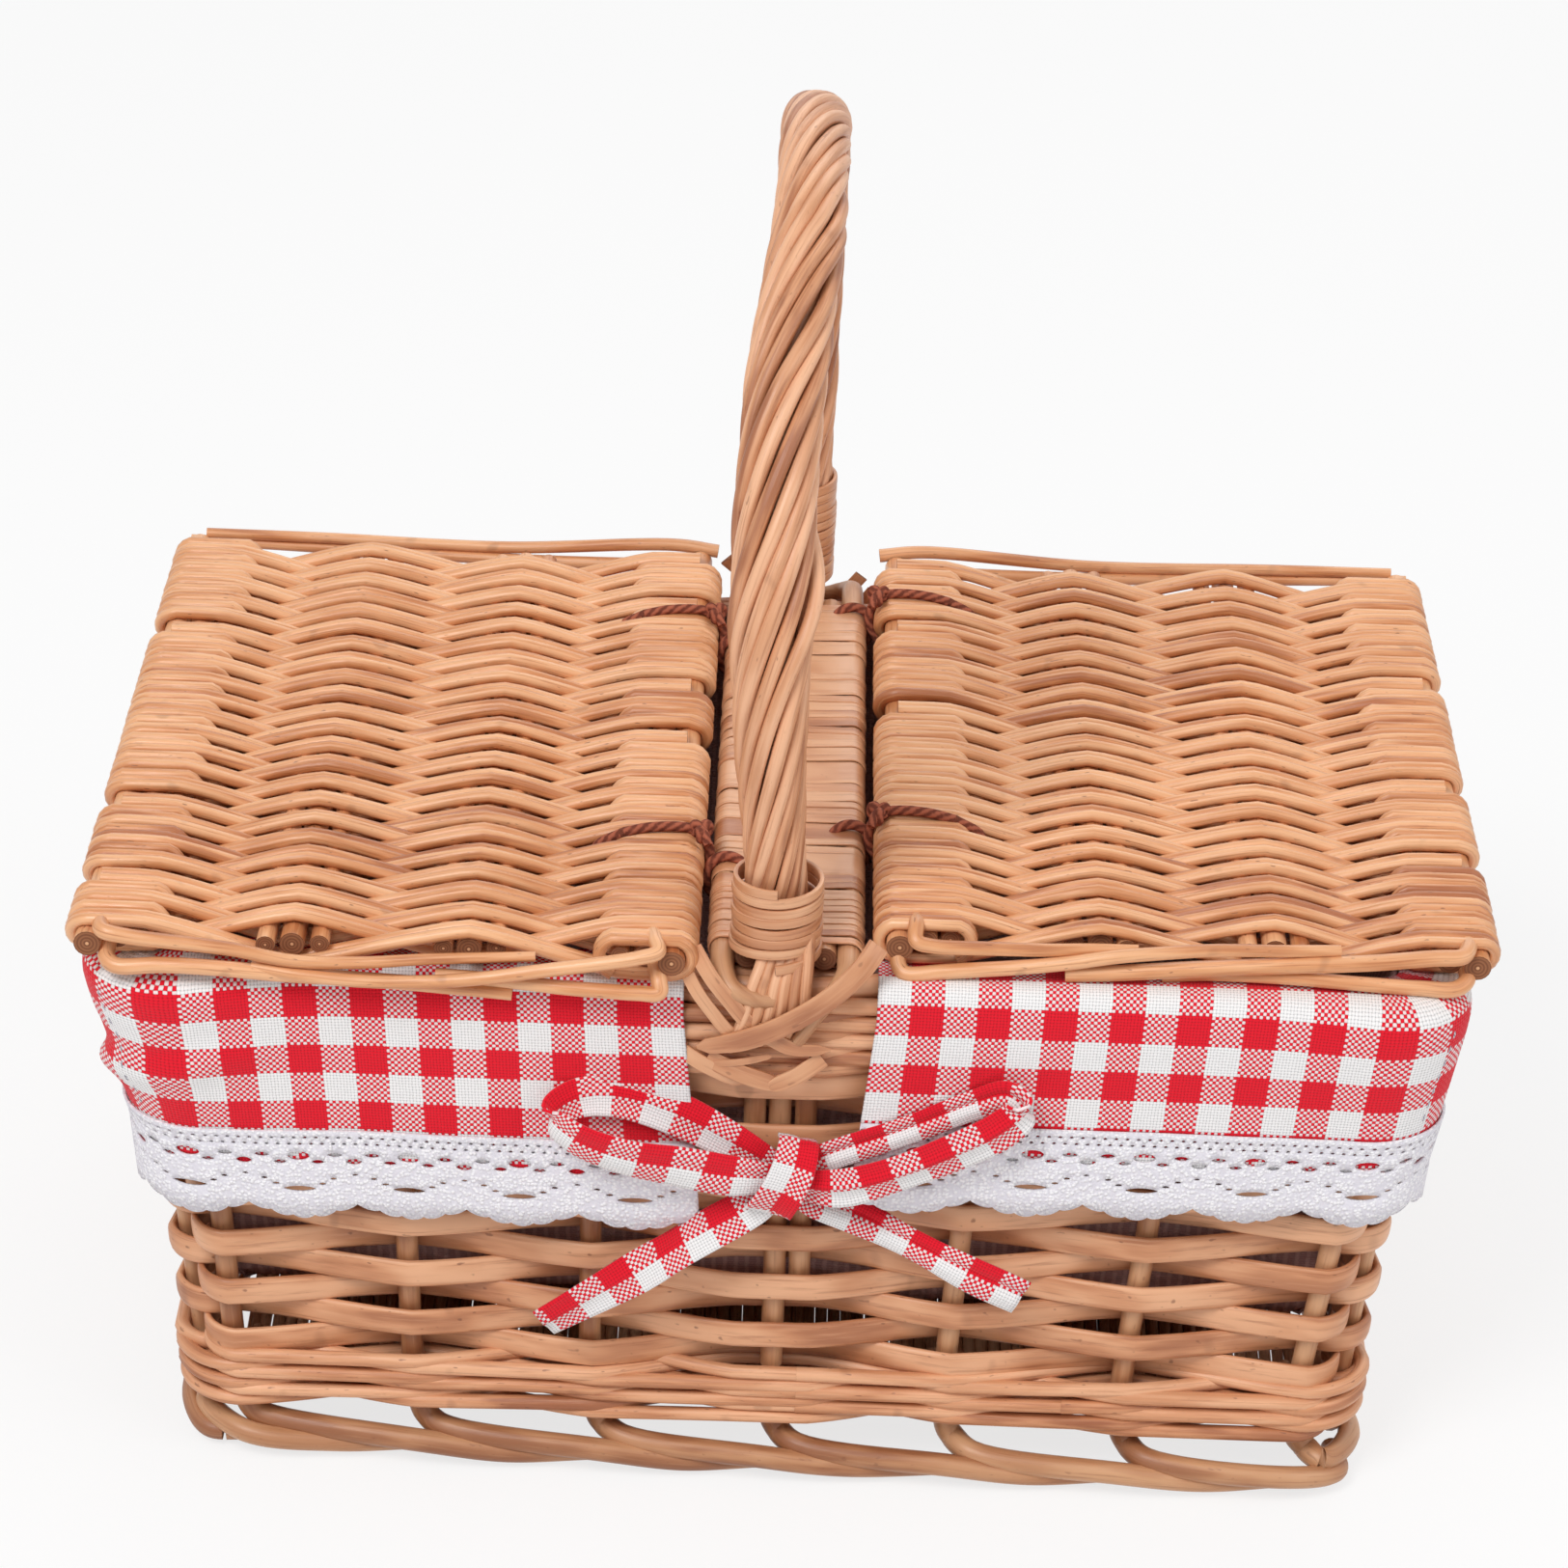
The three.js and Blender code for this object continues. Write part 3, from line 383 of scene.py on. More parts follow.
def settle(source: Piece, name: str) -> Piece:
    """Turns what an object's modifiers make into a plain mesh object, and removes the source.

    Args:
        source: The object with its modifiers.
        name: The new object's name.

    Returns:
        The plain mesh object.
    """
    bpy.context.view_layer.update()
    graph = bpy.context.evaluated_depsgraph_get()
    mesh = bpy.data.meshes.new_from_object(source.evaluated_get(graph), depsgraph=graph)
    mesh.name = name
    piece = add_object(name, mesh)
    remove_object(source)
    return piece


def join_pieces(parts: list[Piece], name: str) -> Piece:
    """Joins plain mesh objects of one material in one piece.

    Args:
        parts: The objects, which are removed.
        name: The piece's name.

    Returns:
        The joined piece.
    """
    joined = bmesh.new()
    for part in parts:
        joined.from_mesh(part.data)
    mesh = bpy.data.meshes.new(name)
    joined.to_mesh(mesh)
    joined.free()
    for material in parts[0].data.materials:
        mesh.materials.append(material)
    for part in parts:
        remove_object(part)
    return add_object(name, mesh)


@dataclass
class Workshop:
    """What every sub-assembly is built with: the sweep tree, the materials and the random source."""

    sweep: SweepTree
    materials: dict[str, bpy.types.Material]
    rng: np.random.Generator

    def lay(
        self, name: str, rods: list[Rod], finish: str, size: Pair = (1.0, 1.0),
        section: Section = Section.ROUND, sides: int = 10,
    ) -> Piece:
        """Sweeps a section along each rod and joins the bodies in one piece.

        Args:
            name: The piece's name.
            rods: The rods.
            finish: The name of its material.
            size: Half the section's width and its height along the rod's `up`, in millimetres.
            section: How square the section is.
            sides: How many sides the section has.

        Returns:
            The piece, a plain mesh at the origin.
        """
        mesh = bpy.data.meshes.new(name + "_lines")
        edges = []
        first = 0
        columns = {key: [] for key in ("rod_radius", "rod_along", "rod_tone", "rod_cut", "rod_up")}
        for rod in rods:
            count = len(rod.points)
            edges += [(first + i, first + i + 1) for i in range(count - 1)]
            edges += [(first + count - 1, first)] if rod.closed else []
            first += count
            cut = np.zeros(count)
            cut[[0, -1]] = 0.0 if rod.closed else 1.0
            radius = np.broadcast_to(np.asarray(rod.scale, float), (count,))
            up = square_to(rod.points, rod.up, rod.closed)
            values = (radius, way_along(rod.points), np.full(count, rod.tone), cut, up)
            for column, value in zip(columns.values(), values):
                column.append(value)
        mesh.from_pydata((np.vstack([rod.points for rod in rods]) * MM).tolist(), edges, [])
        upward = np.vstack(columns.pop("rod_up")).astype("f").ravel()
        for key, values in columns.items():
            attribute = mesh.attributes.new(key, "FLOAT", "POINT")
            attribute.data.foreach_set("value", np.concatenate(values).astype("f"))
        mesh.attributes.new("rod_up", "FLOAT_VECTOR", "POINT").data.foreach_set("vector", upward)
        lines = add_object(name + "_lines", mesh)
        modifier = lines.modifiers.new("Sweep", "NODES")
        modifier.node_group = self.sweep.tree
        settings = (size[0] * MM, size[1] * MM, section.value, sides, self.materials[finish])
        for identifier, value in zip(self.sweep.inputs, settings):
            modifier[identifier] = value
        return settle(lines, name)

    def dress(self, piece: Piece, look: Look, body: str, *nodes: str) -> Piece:
        """Gives a piece its material if it has none, its body and the nodes that it replaces.

        Args:
            piece: The finished piece.
            look: Its finish and slot.
            body: The body that it moves with.
            nodes: The frame's nodes that it replaces.

        Returns:
            The piece.
        """
        if not piece.data.materials:
            piece.data.materials.append(self.materials[look.finish])
        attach(piece, body)
        if nodes:
            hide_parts(*nodes)
        LOG.info("%s: %d faces", piece.name, len(piece.data.polygons))
        return piece


def cloth_object(name: str, points: Array, faces: Array, flat: Array) -> Piece:
    """Makes a sheet of cloth with its flat pattern as a UV map, in metres.

    Args:
        name: The object's name.
        points: The places of its corners, in millimetres.
        faces: Corner numbers, three or four a face.
        flat: Each corner's place on the flat cloth, in millimetres.

    Returns:
        The sheet, one layer thick.
    """
    mesh = bpy.data.meshes.new(name)
    mesh.from_pydata((points * MM).tolist(), [], [list(face) for face in faces])
    layer = mesh.uv_layers.new(name="cloth")
    corners = np.empty(len(mesh.loops), np.int32)
    mesh.loops.foreach_get("vertex_index", corners)
    layer.data.foreach_set("uv", (flat[corners] * MM).astype("f").ravel())
    mesh.shade_smooth()
    return add_object(name, mesh)


def thicken(sheet: Piece, thickness: float) -> Piece:
    """Gives a sheet of cloth its thickness, half of it on each side.

    Args:
        sheet: The sheet.
        thickness: Its thickness, in millimetres.

    Returns:
        The closed sheet.
    """
    solid = sheet.modifiers.new("Solidify", "SOLIDIFY")
    solid.thickness = thickness * MM
    solid.offset = 0.0
    name = sheet.name
    sheet.name = name + "_layer"
    return settle(sheet, name)


def grid_faces(rows: int, columns: int) -> Array:
    """The quads of a grid of points, row after row."""
    first = np.arange(rows - 1)[:, None] * columns + np.arange(columns - 1)[None, :]
    return np.stack([first, first + 1, first + columns + 1, first + columns], axis=-1).reshape(-1, 4)


class SharedEffects:
    """The shader node groups that several finishes use, each built once."""

    def __init__(self) -> None:
        """Builds the groups."""
        self.grain = self._grain()
        self.weave = self._weave()

    def _grain(self) -> bpy.types.NodeTree:
        """Grain of a willow rod: streaks along it, blotches, specks and the brown wood of a cut end, with a
        painted sheen on the glossier streaks.

        Returns:
            The node group.
        """
        colours = {title: ("Color", (0.5, 0.3, 0.15, 1.0)) for title in ("Light", "Middle", "Dark", "Cut")}
        amounts = {"Streaks": ("Float", 0.5), "Specks": ("Float", 0.5), "Polish": ("Float", 0.4)}
        outputs = {"Color": "Color", "Roughness": "Float", "Height": "Float"}
        group = shader_group("Willow grain", {**colours, **amounts}, outputs)
        t = NodeTools(group)
        given = group.nodes["Group Input"].outputs
        place = t.attribute("section", "Vector")
        tone, along, cut = (t.attribute(name) for name in ("tone", "along", "cut"))
        section = t.split(place)

        def pattern(across: float, length: float, shift: float, detail: float, rough: float) -> Socket:
            """Noise on a rod.

            Args:
                across: How many times it changes across a radius.
                length: How long it is along the rod, in millimetres.
                shift: How far the rod's tone moves it.
                detail: Its detail.
                rough: Its roughness.

            Returns:
                The noise.
            """
            parts = {axis: t.times(section[axis], across) for axis in (0, 1)}
            parts[2] = t.times(along, 1 / length, t.times(tone, shift))
            where = t.node("ShaderNodeCombineXYZ", parts).outputs[0]
            inputs = {"Vector": where, "Scale": 1.0, "Detail": detail, "Roughness": rough}
            return t.node("ShaderNodeTexNoise", inputs).outputs["Fac"]

        streak = pattern(3.2, 26.0, 37.0, 4.0, 0.62)
        blotch = pattern(0.55, 34.0, 91.0, 2.0, 0.5)
        speck = pattern(2.3, 3.1, 53.0, 1.0, 0.4)
        nodes = pattern(0.3, 9.0, 71.0, 0.0, 0.4)
        lightness = t.math("ADD", t.ramp(blotch, 0.3, 0.7), t.times(tone, 0.9, -0.45))
        base = t.mix(t.ramp(lightness, 0.1, 1.1), given["Middle"], given["Light"])
        base = t.mix(t.times(t.ramp(lightness, 0.35, -0.35), 0.75), base, given["Dark"])
        base = t.mix(t.times(t.ramp(streak, 0.5, 0.78), given["Streaks"]), base, given["Dark"])
        # Painted sheen: the colour turns lighter on the smoother, glossier streaks.
        shine = t.times(t.ramp(streak, 0.48, 0.26), t.times(given["Streaks"], 0.6))
        base = t.mix(shine, base, given["Light"])
        spots = t.times(t.ramp(speck, 0.7, 0.8), given["Specks"])
        knots = t.times(t.ramp(nodes, 0.74, 0.84), t.times(given["Specks"], 0.45))
        marks = t.math("MAXIMUM", spots, knots)
        base = t.mix(marks, base, given["Cut"])
        radius = t.vector("LENGTH", {0: place}).outputs["Value"]
        rings = t.math("SINE", t.times(radius, 24.0))
        wood = t.mix(t.times(rings, 0.12, 0.16), given["Cut"], given["Middle"])
        wood = t.mix(t.times(t.ramp(radius, 0.16, 0.1), 0.8), wood, given["Light"])
        is_cut = t.math("GREATER_THAN", cut, 0.995)
        rough = t.times(streak, 0.28, t.math("SUBTRACT", given["Polish"], 0.14))
        rough = t.math("MAXIMUM", rough, t.times(is_cut, 0.85))
        height = t.math("SUBTRACT", t.times(streak, -0.55, 0.6), t.times(marks, 0.35))
        height = t.times(blotch, 0.5, height)
        made = {"Color": t.mix(is_cut, base, wood), "Roughness": rough, "Height": height}
        t.feed(group.nodes["Group Output"], made)
        return group

    def _weave(self) -> bpy.types.NodeTree:
        """A plain weave on a cloth's flat pattern: which thread lies on top, how high it is and where the
        gaps between threads lie, as a mask for painted shade.

        Returns:
            The node group.
        """
        inputs = {"Thread": ("Float", 0.001), "Unevenness": ("Float", 0.2)}
        outputs = {title: "Float" for title in ("Warp", "Across", "Down", "Height", "Gap Shade")}
        group = shader_group("Plain weave", inputs, outputs)
        t = NodeTools(group)
        given = group.nodes["Group Input"].outputs
        flat = t.node("ShaderNodeUVMap", uv_map="cloth").outputs[0]
        threads = t.vector("SCALE", {0: flat, "Scale": t.math("DIVIDE", 1.0, given["Thread"])}).outputs[0]
        noise = {"Vector": threads, "Scale": 0.35, "Detail": 2.0}
        wobble = t.node("ShaderNodeTexNoise", noise, noise_dimensions="2D").outputs["Color"]
        centred = t.vector("SUBTRACT", {0: wobble, 1: (0.5, 0.5, 0.5)}).outputs[0]
        scaled = t.vector("SCALE", {0: centred, "Scale": given["Unevenness"]}).outputs[0]
        u, v, _ = t.split(t.vector("ADD", {0: threads, 1: scaled}).outputs[0])
        warp = t.math("FLOORED_MODULO", t.math("ADD", t.math("FLOOR", u), t.math("FLOOR", v)), 2.0)
        waves = (t.math("SINE", t.times(x, math.pi)) for x in (u, v))
        ridge_u, ridge_v = (t.math("ABSOLUTE", wave) for wave in waves)
        warp_height = t.times(ridge_u, t.times(ridge_v, 0.5, 0.5))
        weft_height = t.times(ridge_v, t.times(ridge_u, 0.5, 0.5))
        height = t.times(t.math("SUBTRACT", warp_height, weft_height), warp, weft_height)
        # Mask of the gaps between threads; the gingham paints shade there.
        hole = t.ramp(t.math("MAXIMUM", ridge_u, ridge_v), 0.62, 0.3)
        made = {"Warp": warp, "Across": u, "Down": v, "Height": height, "Gap Shade": hole}
        t.feed(group.nodes["Group Output"], made)
        return group


def new_material(name: str) -> tuple[bpy.types.Material, NodeTools, bpy.types.Node]:
    """Makes a material with an empty Principled shader.

    Args:
        name: The material's name.

    Returns:
        The material, the tools for its nodes and its shader.
    """
    material = bpy.data.materials.new(name)
    material.use_nodes = True
    return material, NodeTools(material.node_tree), material.node_tree.nodes["Principled BSDF"]


Surface = tuple[dict, Socket, float, float]


@dataclass(frozen=True)
class Finish:
    """A finish with a darker and a lighter colour."""

    name: str
    shade: Triple
    colour: Triple

    def make(self, effects: SharedEffects) -> bpy.types.Material:
        """Builds the material.

        Args:
            effects: The shared node groups.

        Returns:
            The material.
        """
        material, t, shader = new_material(self.name)
        inputs, height, distance, strength = self.surface(t, effects)
        bump = t.node("ShaderNodeBump", {"Height": height, "Distance": distance, "Strength": strength})
        t.feed(shader, {**inputs, "Normal": bump.outputs[0]})
        return material

    def surface(self, t: NodeTools, effects: SharedEffects) -> Surface:
        """Makes what the shader and its bump get.

        Args:
            t: The tools for the material's nodes.
            effects: The shared node groups.

        Returns:
            The shader's inputs, the height, how many metres it raises the surface and how strongly.
        """
        raise NotImplementedError

    def between(self, t: NodeTools, share: Socket) -> Socket:
        """Mixes the darker and the lighter colour."""
        return t.mix(share, srgb(*self.shade), srgb(*self.colour))


def cotton(colour: Socket, gloss: float, rough: float = 0.95) -> dict:
    """What the shader of dull yarn gets."""
    return {"Base Color": colour, "Roughness": rough, "Specular IOR Level": gloss}


@dataclass(frozen=True)
class WillowFinish(Finish):
    """Willow as the basket shows it, from pale peeled stakes to honey-brown weavers and flat skein."""

    dark: Triple = (140, 80, 48)
    streaks: float = 0.65
    specks: float = 0.35
    polish: float = 0.42
    cut: Triple = (112, 64, 40)
    relief: float = 0.0004

    def surface(self, t: NodeTools, effects: SharedEffects) -> Surface:
        """Places the shared grain.

        Args:
            t: The tools for the material's nodes.
            effects: The shared node groups.

        Returns:
            What the base class says.
        """
        colours = {"Light": self.colour, "Middle": self.shade, "Dark": self.dark, "Cut": self.cut}
        given = {title: srgb(*colour) for title, colour in colours.items()}
        given |= {"Streaks": self.streaks, "Specks": self.specks, "Polish": self.polish}
        out = t.node("ShaderNodeGroup", given, node_tree=effects.grain).outputs
        inputs = {"Base Color": out["Color"], "Roughness": out["Roughness"], "Specular IOR Level": 0.5}
        return inputs, out["Height"], self.relief, 0.55


@dataclass(frozen=True)
class ClothFinish(Finish):
    """Plain lining cloth with a fine rib, woven of threads that show."""

    thread: float = 0.0008
    unevenness: float = 0.5

    def surface(self, t: NodeTools, effects: SharedEffects) -> Surface:
        """Colours the shared weave.

        Args:
            t: The tools for the material's nodes.
            effects: The shared node groups.

        Returns:
            What the base class says.
        """
        given = {"Thread": self.thread, "Unevenness": self.unevenness}
        out = t.node("ShaderNodeGroup", given, node_tree=effects.weave).outputs
        return self.dye_and_shade(t, out), out["Height"], 0.0003, 0.6

    def dye_and_shade(self, t: NodeTools, weave: bpy.types.bpy_prop_collection) -> dict:
        """Colours the weave, with painted shade where the threads lie low and rib stripes across them.

        Args:
            t: The tools for the material's nodes.
            weave: What the shared weave puts out.

        Returns:
            The shader's inputs.
        """
        rib = t.times(t.math("SINE", t.times(weave["Across"], math.pi)), 0.25, 0.5)
        # Painted shade: the colour darkens where the weave lies low; the rib adds lighter and darker stripes
        # across the threads.
        return cotton(self.between(t, t.times(weave["Height"], 0.5, rib)), 0.15)


@dataclass(frozen=True)
class GinghamFinish(ClothFinish):
    """Checked cotton: threads of two colours, ten to a check."""

    check_threads: float = 10.0
    tint: float = 0.16

    def dye_and_shade(self, t: NodeTools, weave: bpy.types.bpy_prop_collection) -> dict:
        """Dyes the threads in checks and paints shade on the lower threads and in the gaps between them.

        Args:
            t: The tools for the material's nodes.
            weave: What the shared weave puts out.

        Returns:
            The shader's inputs.
        """
        stripes = []
        for direction in ("Across", "Down"):
            check = t.math("FLOOR", t.math("DIVIDE", weave[direction], self.check_threads))
            stripes.append(t.math("FLOORED_MODULO", check, 2.0))
        on_top = t.mix(weave["Warp"], stripes[1], stripes[0])
        crossed = t.times(t.mix(weave["Warp"], stripes[0], stripes[1]), self.tint)
        yarn = self.between(t, t.math("MAXIMUM", on_top, crossed))
        flat = t.node("ShaderNodeUVMap", uv_map="cloth").outputs[0]
        fibre = t.node("ShaderNodeTexNoise", {"Vector": flat, "Scale": 2600.0, "Detail": 2.0}).outputs["Fac"]
        shade = t.times(fibre, 0.3, 0.85)
        # Painted shade: darker where a thread lies low and in the gaps between threads; the fibre noise is
        # the yarn's own variation.
        shade = t.times(shade, t.times(weave["Height"], 0.32, 0.76))
        shade = t.math("MINIMUM", t.math("SUBTRACT", shade, t.times(weave["Gap Shade"], 0.22)), 1.0)
        colour = t.mix(1.0, yarn, shade, "MULTIPLY")
        return {**cotton(colour, 0.15), "Sheen Weight": 0.15, "Sheen Roughness": 0.5}


@dataclass(frozen=True)
class LaceFinish(Finish):
    """White cotton yarn of the lace, a little fuzzy and looped."""

    loop: float = 0.0012

    def surface(self, t: NodeTools, effects: SharedEffects) -> Surface:
        """Makes loops and fuzz, with painted shade where the yarn lies low.

        Args:
            t: The tools for the material's nodes.
            effects: The shared node groups.

        Returns:
            What the base class says.
        """
        flat = t.node("ShaderNodeUVMap", uv_map="cloth").outputs[0]
        loops = t.node("ShaderNodeTexVoronoi", {"Vector": flat, "Scale": 1 / self.loop, "Randomness": 0.8})
        fibre = t.node("ShaderNodeTexNoise", {"Vector": flat, "Scale": 1800.0, "Detail": 3.0}).outputs["Fac"]
        height = t.times(fibre, 0.5, t.ramp(loops.outputs["Distance"], 0.75, 0.1))
        # The colour follows the height: painted shade where the yarn lies low.
        return cotton(self.between(t, height), 0.2), height, 0.0006, 0.7


@dataclass(frozen=True)
class CordFinish(Finish):
    """Laid cord, as of the hinge ties."""

    lay_length: float = 3.6
    strands: float = 3.0

    def surface(self, t: NodeTools, effects: SharedEffects) -> Surface:
        """Lays strands round the cord, with painted shade in the grooves between them.

        Args:
            t: The tools for the material's nodes.
            effects: The shared node groups.

        Returns:
            What the base class says.
        """
        corner = t.split(t.attribute("section", "Vector"))
        turns = t.times(t.attribute("along"), 2 * math.pi / self.lay_length)
        angle = t.math("ARCTAN2", corner[1], corner[0])
        strand = t.math("SINE", t.times(angle, self.strands, turns))
        place = t.node("ShaderNodeTexCoord").outputs["Object"]
        fuzz = t.node("ShaderNodeTexNoise", {"Vector": place, "Scale": 900.0, "Detail": 3.0}).outputs["Fac"]
        height = t.times(strand, 0.3, fuzz)
        # The colour follows the height: painted shade in the grooves between strands, with fuzz noise.
        return cotton(self.between(t, t.ramp(height, 0.2, 0.8)), 0.2, 0.9), height, 0.0005, 0.7


FINISHES = (
    WillowFinish("willow", (204, 141, 100), (230, 174, 134), (140, 76, 44), 0.6, 0.6),
    WillowFinish("lid_willow", (212, 145, 96), (234, 178, 132), (154, 82, 44), 0.65, 0.6, 0.33),
    WillowFinish("handle_willow", (204, 144, 104), (230, 176, 138), (142, 78, 46), 0.65, 0.5),
    WillowFinish("pale_willow", (180, 126, 88), (206, 156, 116), (138, 82, 50), 0.5, 0.35),
    WillowFinish("skein", (200, 138, 98), (222, 168, 128), (148, 84, 52), 0.7, 0.35, 0.33),
    GinghamFinish("gingham", (246, 244, 244), (232, 26, 46), 0.000933, 0.35),
    ClothFinish("liner_cloth", (136, 98, 96), (196, 158, 152)),
    LaceFinish("lace", (214, 210, 220), (250, 248, 251)),
    CordFinish("cord", (112, 58, 44), (172, 98, 74)),
    CordFinish("seam_thread", (150, 146, 156), (214, 212, 218), 1.2, 2.0),
)


@dataclass(frozen=True)
class WallShape:
    """The wall's middle line, a rounded rectangle that widens towards the rim, in millimetres."""

    foot_half: Pair = (164.5, 115.0)
    spread: Pair = (14.5, 7.0)
    rim: float = 169.0
    corner: float = 12.0
    across: int = 7
    deep: int = 5

    @property
    def stakes(self) -> int:
        """How many stakes stand round the wall."""
        return 2 * (self.across + self.deep)

    @property
    def front_centre(self) -> int:
        """The number of the stake under the handle's front leg."""
        return self.across // 2

    @property
    def back_centre(self) -> int:
        """The number of the stake under the handle's back leg."""
        return self.across + self.deep + self.across // 2

    def half(self, z: Array | float) -> tuple[Array, Array]:
        """Half the width and the depth of the middle line at a height."""
        share = np.asarray(z, float) / self.rim
        return self.foot_half[0] + self.spread[0] * share, self.foot_half[1] + self.spread[1] * share

    def at(self, u: Array, z: Array, offset: Array | float = 0.0) -> Array:
        """Places on the wall.

        Args:
            u: The way round it in stakes, from the front's left corner, anticlockwise from above.
            z: The heights.
            offset: How far outside the middle line.

        Returns:
            The points.
        """
        u, z, offset = np.broadcast_arrays(*(np.asarray(value, float) for value in (u, z, offset)))
        u = np.mod(u, self.stakes)
        counts = np.array([self.across, self.deep, self.across, self.deep])
        firsts = np.concatenate([[0], np.cumsum(counts)[:-1]])
        stake = np.floor(u + 1e-9).astype(int) % self.stakes
        side = np.searchsorted(firsts, stake, side="right") - 1
        order = stake - firsts[side]
        part = np.clip(u - np.floor(u + 1e-9), 0, 1)
        is_corner = order == counts[side] - 1
        share = -1 + 2 * (order + np.where(is_corner, 0.0, part)) / (counts[side] - 1)
        facing = side * math.pi / 2
        turned = facing + np.where(is_corner, part * math.pi / 2, 0.0)
        half_x, half_y = self.half(z)
        reach = np.where(side % 2 == 0, half_x, half_y) - self.corner
        depth = np.where(side % 2 == 0, half_y, half_x) - self.corner
        x = np.cos(facing) * share * reach + np.sin(facing) * depth + np.sin(turned) * (self.corner + offset)
        y = np.sin(facing) * share * reach - np.cos(facing) * depth - np.cos(turned) * (self.corner + offset)
        return np.stack([x, y, z], axis=-1)

    def lean(self, u: Array, z: Array) -> Array:
        """The direction up the slanted wall."""
        return unit(self.at(u, np.asarray(z) + 1.0) - self.at(u, z))

    def front_offset(self, x: float, z: float, offset: float, back: bool = False) -> Array:
        """A point in front of the front wall, or behind the back one, at a place across it."""
        y = float(self.half(z)[1]) + offset
        return np.array([x, y if back else -y, z])


@dataclass
class SubAssembly:
    """What every sub-assembly has: the workshop that it is built in and the wall that it fits."""

    shop: Workshop
    wall: WallShape = WallShape()

    @property
    def rng(self) -> np.random.Generator:
        """The random source."""
        return self.shop.rng

    @property
    def body(self) -> str:
        """The body that the pieces move with."""
        return BASKET

    def make(
        self, name: str, rods: list[Rod], look: Look, node: str | None = None,
        size: float | Pair = 1.0, section: Section = Section.ROUND, sides: int = 10,
    ) -> None:
        """Lays rods as one piece and dresses it.

        Args:
            name: The piece's name.
            rods: The rods.
            look: Its finish and slot.
            node: The frame's node that it replaces.
            size: The section's radius, or half its width and its height, in millimetres.
            section: How square the section is.
            sides: How many sides the section has.
        """
        size = size if isinstance(size, tuple) else (size, size)
        self.dress(self.shop.lay(name, rods, look.finish, size, section, sides), look, node)

    def dress(self, piece: Piece, look: Look, node: str | None = None) -> Piece:
        """Dresses a piece that rides on this sub-assembly's body."""
        return self.shop.dress(piece, look, self.body, *([node] if node else []))


